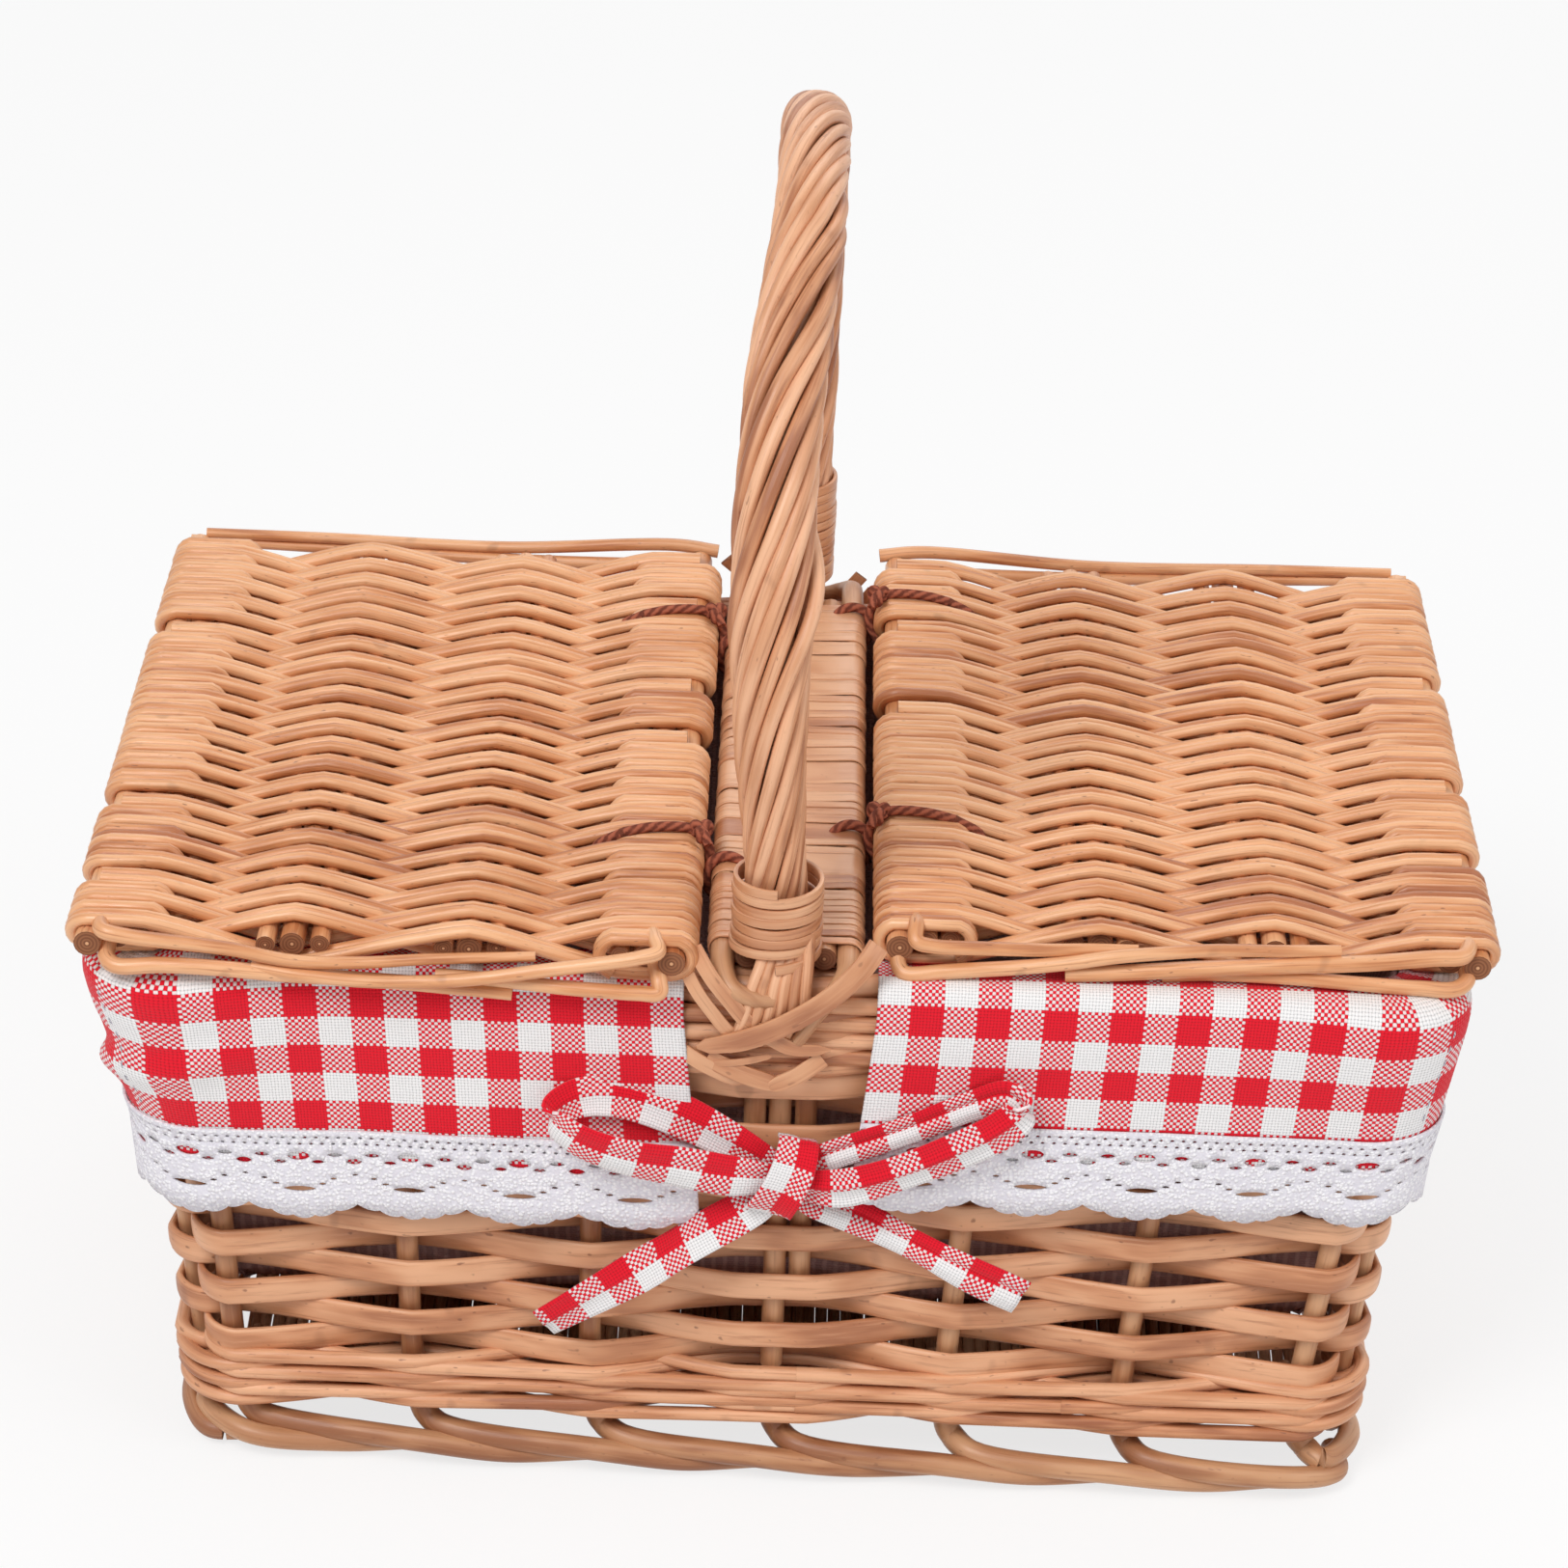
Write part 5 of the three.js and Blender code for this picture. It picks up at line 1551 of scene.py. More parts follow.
@dataclass
class Bridge(SubAssembly):
    """The bridge between the lids: two pairs of sticks wrapped crosswise with flat skein."""

    z: float = 173.1
    stick_x: float = 17.65
    inner_x: float = 10.75
    stick_radius: float = 3.5
    end_radius: float = 2.0
    weave_end: float = 103.0
    front_end: float = -119.0
    bend_start: float = 119.0
    bent_ends: tuple[tuple[Triple, ...], ...] = (
        ((3.0, 133.0, 165.4), (9.5, 133.6, 166.6), (14.8, 132.4, 168.6), (17.3, 127.0, 171.2)),
        ((4.0, 133.4, 153.0), (9.3, 133.8, 161.5), (14.2, 132.6, 168.5), (17.3, 127.0, 171.4)),
    )
    skein_half: float = 0.3
    narrow_strip: float = 3.4
    narrow_length: float = 30.0
    strip_widths: tuple[float, ...] = (4.2, 5.0, 3.6, 6.5, 10.5, 14.0, 4.4, 5.6, 3.8, 8.5)
    ties: tuple[tuple[Side, str, float], ...] = (
        (Side.LEFT, "front", -75.6), (Side.LEFT, "back", 71.4),
        (Side.RIGHT, "front", -53.4), (Side.RIGHT, "back", 95.6),
    )
    tie_radius: float = 1.5
    tie_slant: float = 1.6

    def build(self) -> None:
        """Builds and dresses the bridge."""
        for side in Side:
            self._sticks(side)
        self._skein()
        angle = np.linspace(0, 2 * math.pi, 48, endpoint=False)
        radius = self.stick_radius + 2 * self.skein_half + 0.5 + self.tie_radius
        for side, end, y in self.ties:
            x = side.value * self.stick_x + radius * np.cos(angle)
            line = np.stack([x, y + self.tie_slant * np.sin(angle), self.z + radius * np.sin(angle)], axis=1)
            loop = Rod(line, 1.0, Y_AXIS, 0.5, closed=True)
            node = f"{side.word}_bridge_tie_{end}"
            self.make(node.replace("tie", "cord"), [loop], Look.CORD, node, self.tie_radius, sides=12)

    def _sticks(self, side: Side) -> None:
        """Lays an edge stick, bent down over the rim at both ends, and a shorter inner one.

        Args:
            side: The side of the bridge that they lie on.
        """
        s = side.value
        ends = []
        for turn in (1, -1):
            bend = [(s * x, turn * y, z) for x, y, z in self.bent_ends[0 if s * turn > 0 else 1]]
            ends.append([*bend, (s * self.stick_x, turn * self.bend_start, self.z - 0.2)])
        line = smooth([*ends[0], (s * self.stick_x, 0.0, self.z), *reversed(ends[1])], 12)
        full = self.stick_radius
        thinner = np.clip(full - (173 - line[:, 2]) * 0.14, self.end_radius, full)
        scale = np.where(np.abs(line[:, 1]) < self.bend_start, full, thinner)
        stops = (self.front_end - 3, 0, self.weave_end + 5.5)
        inner = smooth([(s * self.inner_x, y, self.z) for y in stops], 14)
        rods = [Rod(line, scale, X_AXIS, 0.45), Rod(inner, full, Z_AXIS, 0.3)]
        self.make(side.word + "_bridge_rods", rods, Look.CORE, "bridge_sticks_" + side.word, sides=14)

    def _skein(self) -> None:
        """Strips of skein of many widths, wound round all four sticks."""
        rng = self.rng
        parts = []
        y = self.front_end
        while y < self.weave_end - 3:
            width = self.narrow_strip
            if y >= self.front_end + self.narrow_length:
                width = min(float(rng.choice(self.strip_widths)), self.weave_end - y)
            lift = 0.22 * (len(parts) % 2) + rng.uniform(0, 0.12)
            line = self._strip(y + width / 2, rng.uniform(-0.9, 0.9), lift)
            strip = Rod(line, 1.0, Y_AXIS, 0.35 + 0.6 * rng.random(), closed=True)
            size = (self.skein_half, width / 2 - 0.12)
            name = f"skein_part_{len(parts)}"
            parts.append(self.shop.lay(name, [strip], Look.SKEIN.finish, size, Section.STRIP, sides=12))
            y += width
        self.dress(join_pieces(parts, "bridge_skein"), Look.SKEIN, "bridge_weave")

    def _strip(self, y: float, slant: float, lift: float) -> Array:
        """The closed line of one strip round the sticks.

        Args:
            y: Where its middle lies along the bridge.
            slant: How far its right end lies behind the middle.
            lift: How far off the sticks it lies.

        Returns:
            The line's points.
        """
        radius = self.stick_radius + self.skein_half + 0.15 + lift
        arc = np.linspace(-math.pi / 2, math.pi / 2, 13)
        right = np.stack([self.stick_x + radius * np.cos(arc), radius * np.sin(arc)], axis=1)
        across = np.linspace(self.stick_x, -self.stick_x, 9)[1:-1]
        sag = 0.35 * np.cos(across / self.stick_x * math.pi / 2)
        top = np.stack([across, radius - sag], axis=1)
        left = np.stack([-self.stick_x - radius * np.cos(arc), -radius * np.sin(arc)], axis=1)
        bottom = np.stack([across[::-1], -radius + sag], axis=1)
        ring = np.vstack([right, top, left, bottom])
        return np.stack([ring[:, 0], y + slant * ring[:, 0] / self.stick_x, self.z + ring[:, 1]], axis=1)


# The rods bent round the lids' front sticks: (distance from the bridge's middle, height over the lid's
# middle, depth behind the front face) of each rod's stops, and its radius at both ends.
FRONT_RODS = {
    Side.LEFT: (
        ([(189, 2, 14), (189.2, 4.6, 6), (188, 5, 1), (180.4, 3.9, 0), (167, 2.6, 0), (152.6, 1.2, 0),
          (136.7, -1.8, 0.3), (118, -2.2, 1), (99, -0.8, 1.8), (69, 0.6, 3)], (2.6, 1.5)),
        ([(187.5, -1.5, 9), (187.4, -4.2, 2.5), (184.6, -5.2, 0), (172, -4.6, 0), (155, -5, 0.1),
          (138.8, -6.6, 1), (120.7, -8.3, 2.6), (104.2, -9.1, 3), (88.7, -10.2, 3), (75.4, -11.4, 3)],
         (2.45, 2.1)),
        ([(37, 4.6, 12), (36, 5.6, 5), (35.2, 4.5, 0.8), (41, 3.2, -0.6), (51.6, 1.2, -1), (68.8, -1.9, -1.2),
          (83.4, -4.6, -1.2), (99.4, -6.4, -1.2), (116.7, -6.8, -1.2), (134, -6, -0.4), (147.3, -4.6, 1)],
         (2.2, 1.8)),
        ([(36, -2.5, 8), (34.8, -5.5, 2.5), (34.6, -8.1, 0.6), (40.8, -8.4, 0.4), (48.8, -8.1, 0.4),
          (62.1, -7.7, 1), (78.1, -7.2, 2.8), (96.7, -6.4, 3.2)], (2.45, 1.9)),
    ),
    Side.RIGHT: (
        ([(36.2, 4, 12), (36, 5.8, 5), (36.2, 3.4, 0.6), (40.2, 2.3, 0), (55, 2, 0), (71.9, 1.8, 0.6),
          (85.6, 1.7, 2.2), (97.9, 1.6, 3)], (2.45, 1.7)),
        ([(31.5, -2, 7), (31.6, -5.6, 2), (33.5, -6.8, 0), (44.6, -5.5, -0.4), (65.4, -3.1, -0.8),
          (78.7, -1, -1.2), (92.5, 1.7, -1.2), (105.8, 3.2, -0.8), (119.7, 4.4, -0.4), (137.9, 4.4, 0.4),
          (154, 4.2, 2)], (2.45, 1.7)),
        ([(77.9, -5.6, 0.8), (92.9, -4.4, 0.4), (113.2, -2.2, 0), (138.2, -0.1, 0), (154.2, 1.1, 0),
          (165.7, 2.2, 0), (179.6, 4, 0), (187.6, 4.6, 0.3), (189.6, 5, 4), (190, 3.5, 12)], (2.35, 2.4)),
        ([(105, -6.5, 3), (117.1, -5.4, 3), (133.1, -4.8, 2), (146.6, -4.6, 0.8), (161.4, -4.9, 0),
          (175.8, -5.7, 0), (186.5, -5.8, 0.4), (189.8, -4.2, 2.6), (190, -2, 8)], (1.8, 2.5)),
    ),
}

# The rods laid along the lids' back ends: (share of the lid's width, distance behind the sticks' ends,
# height over the lid's middle) of each rod's stops.
BACK_RODS = (
    [(0, 0.6, 3), (0.08, 1.4, 4.4), (0.4, 2.4, 1), (0.75, 2, 2.2), (0.97, 0, 3.4)],
    [(0.02, -0.4, -1.8), (0.35, 1, -2.8), (0.7, 2.2, -1.6), (1, 0.8, 0.6)],
)


@dataclass
class Lid(SubAssembly):
    """A woven lid on one side of the bridge, hinged with two cords; the left one reaches further forward."""

    side: Side = Side.LEFT
    stick_ends: Pair = (-136.3, 131.0)
    ties: Pair = (-72.0, 75.0)
    inner: float = 24.0
    outer: float = 200.0
    z: float = 177.6
    weave_inset: Pair = (3.4, 8.0)
    edge_radius: float = 3.75
    stick_radius: float = 3.5
    side_stick_radius: float = 2.7
    rod_radius: float = 1.84
    pitch: float = 5.8
    step: float = 7.3
    end_rod_radius: float = 2.2
    back_rod_radius: float = 2.0
    back_gap: float = 1.4
    tie_radius: float = 1.45
    tie_reach: float = 29.0
    tie_slant: float = 1.8

    @property
    def body(self) -> str:
        """The lid's own moving body."""
        return self.side.lid

    @property
    def half(self) -> float:
        """Half the lid's thickness at its edges."""
        return self.edge_radius + 2 * self.rod_radius

    @property
    def edge_sticks(self) -> Pair:
        """Where the two edge sticks' middles lie, as distances from the bridge's middle."""
        return self.inner + self.half, self.outer - self.half

    @property
    def groups(self) -> tuple[float, ...]:
        """Where the middles of the four groups of three sticks lie."""
        near, far = self.edge_sticks
        first, last = near + self.step, far - self.step
        return tuple(first + (last - first) * i / 3 for i in range(4))

    def build(self) -> None:
        """Builds and dresses the lid."""
        self._sticks()
        panel = WovenPanel(
            self.groups, self.edge_sticks, self.edge_radius + self.rod_radius, self.pitch, self.rng,
            abreast=2, edge_flat=14.0, edge_loops=1, group_width=2 * self.step,
        )
        front, back = self.stick_ends
        rods = panel.rows(front + self.weave_inset[0], back - self.weave_inset[1])
        for rod in rods:
            rod.points = rod.points * [self.side.value, 1, 1] + [0, 0, self.z]
        self.make(self.body + "_rods", rods, Look.LID, self.body + "_weave", self.rod_radius, sides=9)
        self._front_rods()
        self._back_rods()
        for end, y in zip(ENDS, self.ties):
            self._tie(end, y)

    def _sticks(self) -> None:
        """The groups of three sticks that the rods are woven on, with sawn ends."""
        front, back = self.stick_ends
        for number, middle in enumerate(self.groups, start=1):
            rods = []
            for order in (-1, 0, 1):
                is_edge = (number, order) in ((1, -1), (4, 1))
                ends = self.rng.uniform(0, 0.4, 2) if is_edge else self.rng.uniform(3.0, 6.0, 2)
                x = self.side.value * (middle + self.step * order)
                line = smooth([(x, y, self.z) for y in (front + ends[0], 0, back - ends[1])], 16)
                line[:, 0] += 0.25 * wander(len(line), 5, self.rng)
                radius = self.side_stick_radius if order else self.stick_radius
                rods.append(Rod(line, self.edge_radius if is_edge else radius, Z_AXIS, self.rng.random()))
            node = f"{self.body}_sticks_{number}"
            self.make(node + "_round", rods, Look.LID, node, sides=18)

    def _front_rods(self) -> None:
        """Four rods hooked round the front sticks beside the outermost ones and laid across their ends."""
        face = self.stick_ends[0] - self.end_rod_radius
        rods = []
        for index, (route, (start, end)) in enumerate(FRONT_RODS[self.side]):
            line = smooth([(self.side.value * x, face + depth, self.z + z) for x, z, depth in route], 9)
            line[:, 2] += 0.12 * wander(len(line), 6, self.rng)
            rods.append(Rod(line, np.linspace(start, end, len(line)), None, 0.3 + 0.15 * index))
        self.make(self.body + "_front_binding", rods, Look.LID, self.body + "_front_rods", sides=14)

    def _back_rods(self) -> None:
        """Two thinner rods laid along the sticks' back ends, loosely enough to leave gaps."""
        s = self.side.value
        near, far = self.inner + 2, self.outer - 4
        back = self.stick_ends[1] + self.back_gap
        rods = []
        for index, route in enumerate(BACK_RODS):
            line = smooth([(s * (near + (far - near) * x), back + y, self.z + z) for x, y, z in route], 14)
            scale = self.back_rod_radius * np.linspace(1.1, 0.85, len(line))
            rods.append(Rod(line, scale, None, 0.4 + 0.3 * index))
        self.make(self.body + "_back_binding", rods, Look.LID, self.body + "_back_rods", sides=12)

    def _tie(self, end: str, y: float) -> None:
        """Lays a cord through the lid and round its edge, knotted in the gap beside the bridge.

        Args:
            end: The lid's end that it is nearer to.
            y: Where it lies.
        """
        near, reach = self.edge_sticks[0], self.tie_reach
        radius = self.half + self.tie_radius - 0.2
        top = [(near + reach * f, radius - drop) for f, drop in ((0.55, 1.6), (0.3, 0.2), (0.0, 0.0))]
        arc = [(near - radius * math.sin(a), radius * math.cos(a)) for a in (0.5, 1.1, 1.57, 2.1, 2.7)]
        low = [(near + reach * f, drop - radius) for f, drop in ((0.1, 0.1), (0.4, 0.6), (0.62, 2.0))]
        ring = np.array(top + arc + low + [(near + reach * 0.8, -2.5), (near + reach * 0.82, 2.5)])
        closed = smooth(np.vstack([ring, ring[:1]]), 8)[:-1]
        slant = self.tie_slant * np.sin(np.linspace(0, 2 * math.pi, len(closed)))
        line = np.stack([self.side.value * closed[:, 0], y + slant, self.z + closed[:, 1]], axis=1)
        rods = [Rod(line, 1.0, Y_AXIS, 0.5, closed=True), *self._knot(y)]
        name, node = f"{self.body}_cord_{end}", f"{self.body}_tie_{end}"
        self.make(name, rods, Look.CORD, node, self.tie_radius, sides=12)

    def _knot(self, y: float) -> list[Rod]:
        """The overhand knot at the lid's edge and its two short ends.

        Args:
            y: Where the cord lies.

        Returns:
            The knot and the ends.
        """
        s = self.side.value
        t = np.linspace(0.0, 2 * math.pi, 60)
        centre = np.array([s * (self.inner + 1.4), y, self.z + self.half + 1.0])
        x = 2.0 * np.sin(t) + 1.1 * np.sin(2 * t)
        across = 2.0 * np.cos(t) - 1.2 * np.cos(2 * t)
        knot = centre + np.stack([s * x * 0.8, across * 1.1, 1.3 * np.sin(3 * t)], axis=1)
        rods = [Rod(knot[:-1], 1.0, None, 0.5, closed=True)]
        for turn in (-1, 1):
            stops = [(0.0, turn * 1.0, 0.6), (-s * 1.2, turn * 3.6, 0.4), (-s * 2.2, turn * 5.8, -1.6)]
            line = smooth([centre + stop for stop in stops], 6)
            rods.append(Rod(line, np.linspace(1.0, 0.86, len(line)), None, 0.5))
        return rods


@dataclass
class ClothLine:
    """The way along one flap, from its front edge beside the bridge round the side to its back edge."""

    wall: WallShape
    side: Side
    start: float
    offset: float = 10.4
    places: int = 2400

    def __post_init__(self) -> None:
        """Measures the way along the wall."""
        s = self.side.value
        share = self.start / (self.wall.half(self.wall.rim)[0] - self.wall.corner)
        centre = self.wall.front_centre
        first = centre + s * centre * share
        ends = centre + self.wall.back_centre - (0 if s > 0 else self.wall.stakes)
        self._u = np.linspace(first, ends - first, self.places)
        self._way = way_along(self.wall.at(self._u, self.wall.rim, self.offset))

    @property
    def length(self) -> float:
        """The flap's length along the rim."""
        return float(self._way[-1])

    def u(self, way: Array) -> Array:
        """Turns a distance along the flap into the way round the wall."""
        return np.interp(way, self._way, self._u)

    def way(self, u: float) -> float:
        """Turns a place round the wall into the distance along the flap."""
        return float(np.interp(u * self.side.value, self._u * self.side.value, self._way))


@dataclass(frozen=True)
class Crease:
    """A soft diagonal fold in a flap, from one place to another, as distances along and down it."""

    start: Pair
    end: Pair
    width: float
    height: float

    def lift(self, way: Array, down: Array) -> Array:
        """How far the fold raises the cloth.

        Args:
            way: Distances along the flap.
            down: Distances down it.

        Returns:
            The heights.
        """
        ax, ay = self.start
        bx, by = self.end
        length = math.hypot(bx - ax, by - ay)
        tx, ty = (bx - ax) / length, (by - ay) / length
        along = ((way - ax) * tx + (down - ay) * ty) / length
        across = (way - ax) * ty - (down - ay) * tx
        fade = np.clip(np.sin(np.clip(along, 0, 1) * math.pi), 0, 1) ** 0.6
        hollow = 0.35 * np.exp(-(((across - 1.8 * self.width) / self.width) ** 2))
        return self.height * fade * (np.exp(-((across / self.width) ** 2)) - hollow)


@dataclass
class Flap(SubAssembly):
    """A gingham flap folded out over the rim on one side, with lace sewn along its lower edge."""

    side: Side = Side.LEFT
    start: float = 28.0
    bottom: float = 117.0
    creases: tuple[Crease, ...] = ()
    flare: float = 11.0
    flare_width: float = 34.0
    under_lace: float = 13.0
    thickness: float = 0.6
    step: float = 2.0
    wave: float = 0.8
    hang: Pair = (24.0, 60.0)
    lace_drop: float = 29.0
    lace_gap: float = 1.05
    lace_thickness: float = 0.8
    lace_solid: float = 0.8
    lean_in: float = 5.0
    stitch: Pair = (3.0, 4.6)
    stitch_radius: float = 0.32
    profile: tuple[Pair, ...] = (
        (-6.6, 169.6), (-2.0, 169.75), (3.5, 169.6), (6.6, 168.9), (8.6, 166.6),
        (9.7, 162.0), (10.3, 155.0), (10.4, 146.0), (10.4, 84.0),
    )

    def __post_init__(self) -> None:
        """Measures the cloth's way over the rim and down."""
        self.line = ClothLine(self.wall, self.side, self.start)
        stops = smooth([(offset, 0.0, z) for offset, z in self.profile], 10)
        self._down = way_along(stops)
        self._offset, self._z = stops[:, 0], stops[:, 2]
        self.phases = np.random.default_rng(40 + self.side.value).uniform(0, 2 * math.pi, 6)

    @property
    def corners(self) -> Pair:
        """The places of the wall's front and back corners on this side."""
        return (6.5, 11.5) if self.side is Side.RIGHT else (-0.5, -5.5)

    @property
    def fall(self) -> float:
        """The cloth's way from its top edge to the lace's top edge."""
        return float(np.interp(-self.bottom, -self._z, self._down))

    def surface(self, way: Array, down: Array, lift: float = 0.0) -> Array:
        """Where a place on the flat cloth lies.

        Args:
            way: Distances along the flap.
            down: Distances down it from its top edge.
            lift: How far in front of the flap's middle it lies.

        Returns:
            The points.
        """
        offset = np.interp(down, self._down, self._offset)
        z = np.interp(down, self._down, self._z)
        hang = np.clip((down - self.hang[0]) / self.hang[1], 0, 1)
        p = self.phases
        slant = way + 0.35 * (down - 30)
        folds = np.sin(slant / 13 + p[0]) + 0.7 * np.sin(slant / 7.7 + p[1]) + 0.8 * np.sin(way / 29 + p[2])
        fold = self.wave * hang * (1.0 + 0.55 * folds)
        for crease in self.creases:
            fold = fold + crease.lift(way, down)
        edge = np.exp(-way / 22.0)
        fold = fold * (1 - 0.5 * edge) + 0.6 * hang * edge
        near_corner = np.exp(-(((way - self.line.way(self.corners[0])) / self.flare_width) ** 2))
        flare = self.flare * near_corner * np.clip((down - 9) / 9, 0, 1) * np.clip((72 - down) / 50, 0, 1)
        points = self.wall.at(self.line.u(way), z, offset + np.maximum(fold, -0.3) + flare + lift)
        points[..., 0] -= self.side.value * (self.lean_in * hang * np.exp(-way / 26.0))
        return points

    def build(self) -> None:
        """Builds and dresses the flap, its lace and its side seams."""
        flap = self._cloth()
        lace = self._lace()
        self._seams()

    def _cloth(self) -> Piece:
        """Lays the gingham over the rim.

        Returns:
            The dressed cloth.
        """
        length, drop = self.line.length, self.fall + self.under_lace
        columns, rows = int(length / self.step) + 1, int(drop / (0.8 * self.step)) + 1
        way, down = np.meshgrid(np.linspace(0, length, columns), np.linspace(0, drop, rows))
        faces = grid_faces(rows, columns)
        if self.side is Side.LEFT:
            faces = faces[:, ::-1]
        flat = np.stack([way.ravel(), -down.ravel()], axis=1)
        points = self.surface(way, down).reshape(-1, 3)
        sheet = cloth_object(self.side.word + "_gingham_flap", points, faces, flat)
        return self.dress(thicken(sheet, self.thickness), Look.GINGHAM, self.side.word + "_flap")

    def _lace(self) -> Piece:
        """Lays the lace, with its real holes and scalloped edge.

        Returns:
            The dressed lace.
        """
        flat, faces = LacePattern(self.line.length).mesh()
        points = self.surface(flat[:, 0], self.fall - 0.5 + flat[:, 1], self.lace_gap)
        if self.side is Side.RIGHT:
            faces = faces[:, ::-1]
        sheet = cloth_object(self.side.word + "_lace_edging", points, faces, flat)
        return self.dress(thicken(sheet, self.lace_thickness), Look.LACE, self.side.word + "_lace")

    def _seams(self) -> None:
        """Hand stitches down the corner seams."""
        rods = []
        long, apart = self.stitch
        for corner in self.corners:
            way = self.line.way(corner)
            for down in np.arange(22.0, self.fall - 3.0, apart):
                stops = np.linspace(down, down + long, 4)
                drift = 1.2 * np.sin(stops / 11.0)
                line = self.surface(way + drift, stops, 0.35)
                line[[0, -1]] += 0.35 * unit(self.surface(way + drift, stops, -1.0) - line)[[0, -1]]
                rods.append(Rod(line, np.array([0.5, 1.0, 1.0, 0.5]), None, 0.9))
        self.make(self.side.word + "_seam_stitches", rods, Look.THREAD, size=self.stitch_radius, sides=6)


@dataclass(frozen=True)
class LacePattern:
    """Cotton lace as a flat pattern: a header of tiny holes, a zigzag of larger ones, fans and scallops.

    A motif is a hole's middle along and down the lace, its half sizes and how pointed it is.
    """

    length: float
    repeat: float = 32.0
    header: tuple[Pair, ...] = ((2.2, 0.8), (4.3, 2.4))
    header_step: float = 3.2
    header_hole: Triple = (0.62, 0.48, 2.0)
    motifs: tuple[tuple[float, ...], ...] = (
        (0, 8.3, 3.3, 1.6, 2), (5.5, 10.3, 1.9, 0.75, 1.5), (10.6, 8, 2.2, 0.85, 1.5),
        (16, 10.2, 2.4, 1.1, 1.4), (21.4, 8, 2.2, 0.85, 1.5), (26.5, 10.3, 1.9, 0.75, 1.5),
        (0.5, 19.2, 4.9, 1, 1.5), (-6.3, 17.6, 1.1, 0.5, 1.8), (-9.6, 15.9, 1, 0.5, 1.8),
        (7.3, 17.6, 1.1, 0.5, 1.8), (10.6, 15.9, 1, 0.5, 1.8), (16, 14.6, 0.9, 0.45, 1.8),
    )
    margin: float = 4.0
    cell: float = 3.0
    edge_step: float = 0.8
    lobe: float = 24.3
    lobe_swell: float = 3.9
    picot: float = 6.4
    picot_height: float = 0.9

    def holes(self) -> Array:
        """Lays out the pattern.

        Returns:
            Every hole as its middle and its half sizes, and how pointed it is.
        """
        rows = []
        for down, shift in self.header:
            places = np.arange(shift, self.length - 1.2, self.header_step)
            rows += [(x, down, *self.header_hole) for x in places]
        for start in np.arange(-self.repeat / 2, self.length + self.repeat, self.repeat):
            motifs = [(start + x, *rest) for x, *rest in self.motifs]
            rows += [motif for motif in motifs if self.margin < motif[0] < self.length - self.margin]
        return np.array(rows)

    def edge(self, x: Array) -> Array:
        """The scalloped lower edge."""
        wave = 0.5 + 0.5 * np.cos(2 * math.pi * (x + self.repeat / 2) / self.repeat)
        bumps = np.abs(np.sin(math.pi * x / self.picot)) ** 0.7
        return self.lobe + self.lobe_swell * wave**0.6 + self.picot_height * bumps

    def mesh(self) -> tuple[Array, Array]:
        """Cuts the pattern into triangles.

        Returns:
            The corners on the flat and the triangles.
        """
        points: list[Pair] = []
        edges: list[tuple[int, int]] = []

        def ring(places: Array) -> None:
            """Adds a closed outline."""
            first, count = len(points), len(places)
            points.extend(map(tuple, places))
            edges.extend((first + i, first + (i + 1) % count) for i in range(count))

        x = np.append(np.arange(0, self.length, self.edge_step)[:-1], self.length)
        low = np.stack([x, self.edge(x)], axis=1)
        top = np.stack([np.linspace(self.length, 0, len(x) // 4), np.zeros(len(x) // 4)], axis=1)
        ring(np.vstack([low, top]))
        holes = self.holes()
        for cx, cy, half_x, half_y, point in holes:
            angle = np.linspace(0, 2 * math.pi, 8 if half_x < 1.2 else 14, endpoint=False)
            tall = np.sign(np.sin(angle)) * np.abs(np.sin(angle)) ** (2 / point)
            ring(np.stack([cx + half_x * np.cos(angle), cy + half_y * tall], axis=1))
        first = self.cell / 2
        inner = np.meshgrid(np.arange(first, self.length, self.cell), np.arange(first, self.lobe, self.cell))
        inner = np.stack([part.ravel() for part in inner], axis=1)
        points.extend(map(tuple, inner[self._solid(inner, holes, 0.45)]))
        made = delaunay_2d_cdt([Vector(p) for p in points], edges, [], 0, 1e-4)
        corners = np.array([tuple(v) for v in made[0]])
        faces = np.array([list(face) for face in made[2]])
        faces = faces[self._solid(corners[faces].mean(axis=1), holes, 0.0)]
        used, index = np.unique(faces, return_inverse=True)
        return corners[used], index.reshape(-1, 3)

    def _solid(self, places: Array, holes: Array, margin: float) -> Array:
        """Finds the places that lie on thread.

        Args:
            places: The places on the flat.
            holes: Every hole.
            margin: How far they lie from every edge at least.

        Returns:
            True for each of them.
        """
        inside = (places[:, 1] < self.edge(places[:, 0]) - margin) & (places[:, 1] > 0)
        for cx, cy, half_x, half_y, point in holes:
            near = np.abs(places[:, 0] - cx) < half_x + margin
            dx = np.abs(places[near, 0] - cx) / (half_x + margin)
            dy = np.abs(places[near, 1] - cy) / (half_y + margin)
            inside[near] &= np.minimum(dx, 1) ** 2 + dy**point > 1.0
        return inside


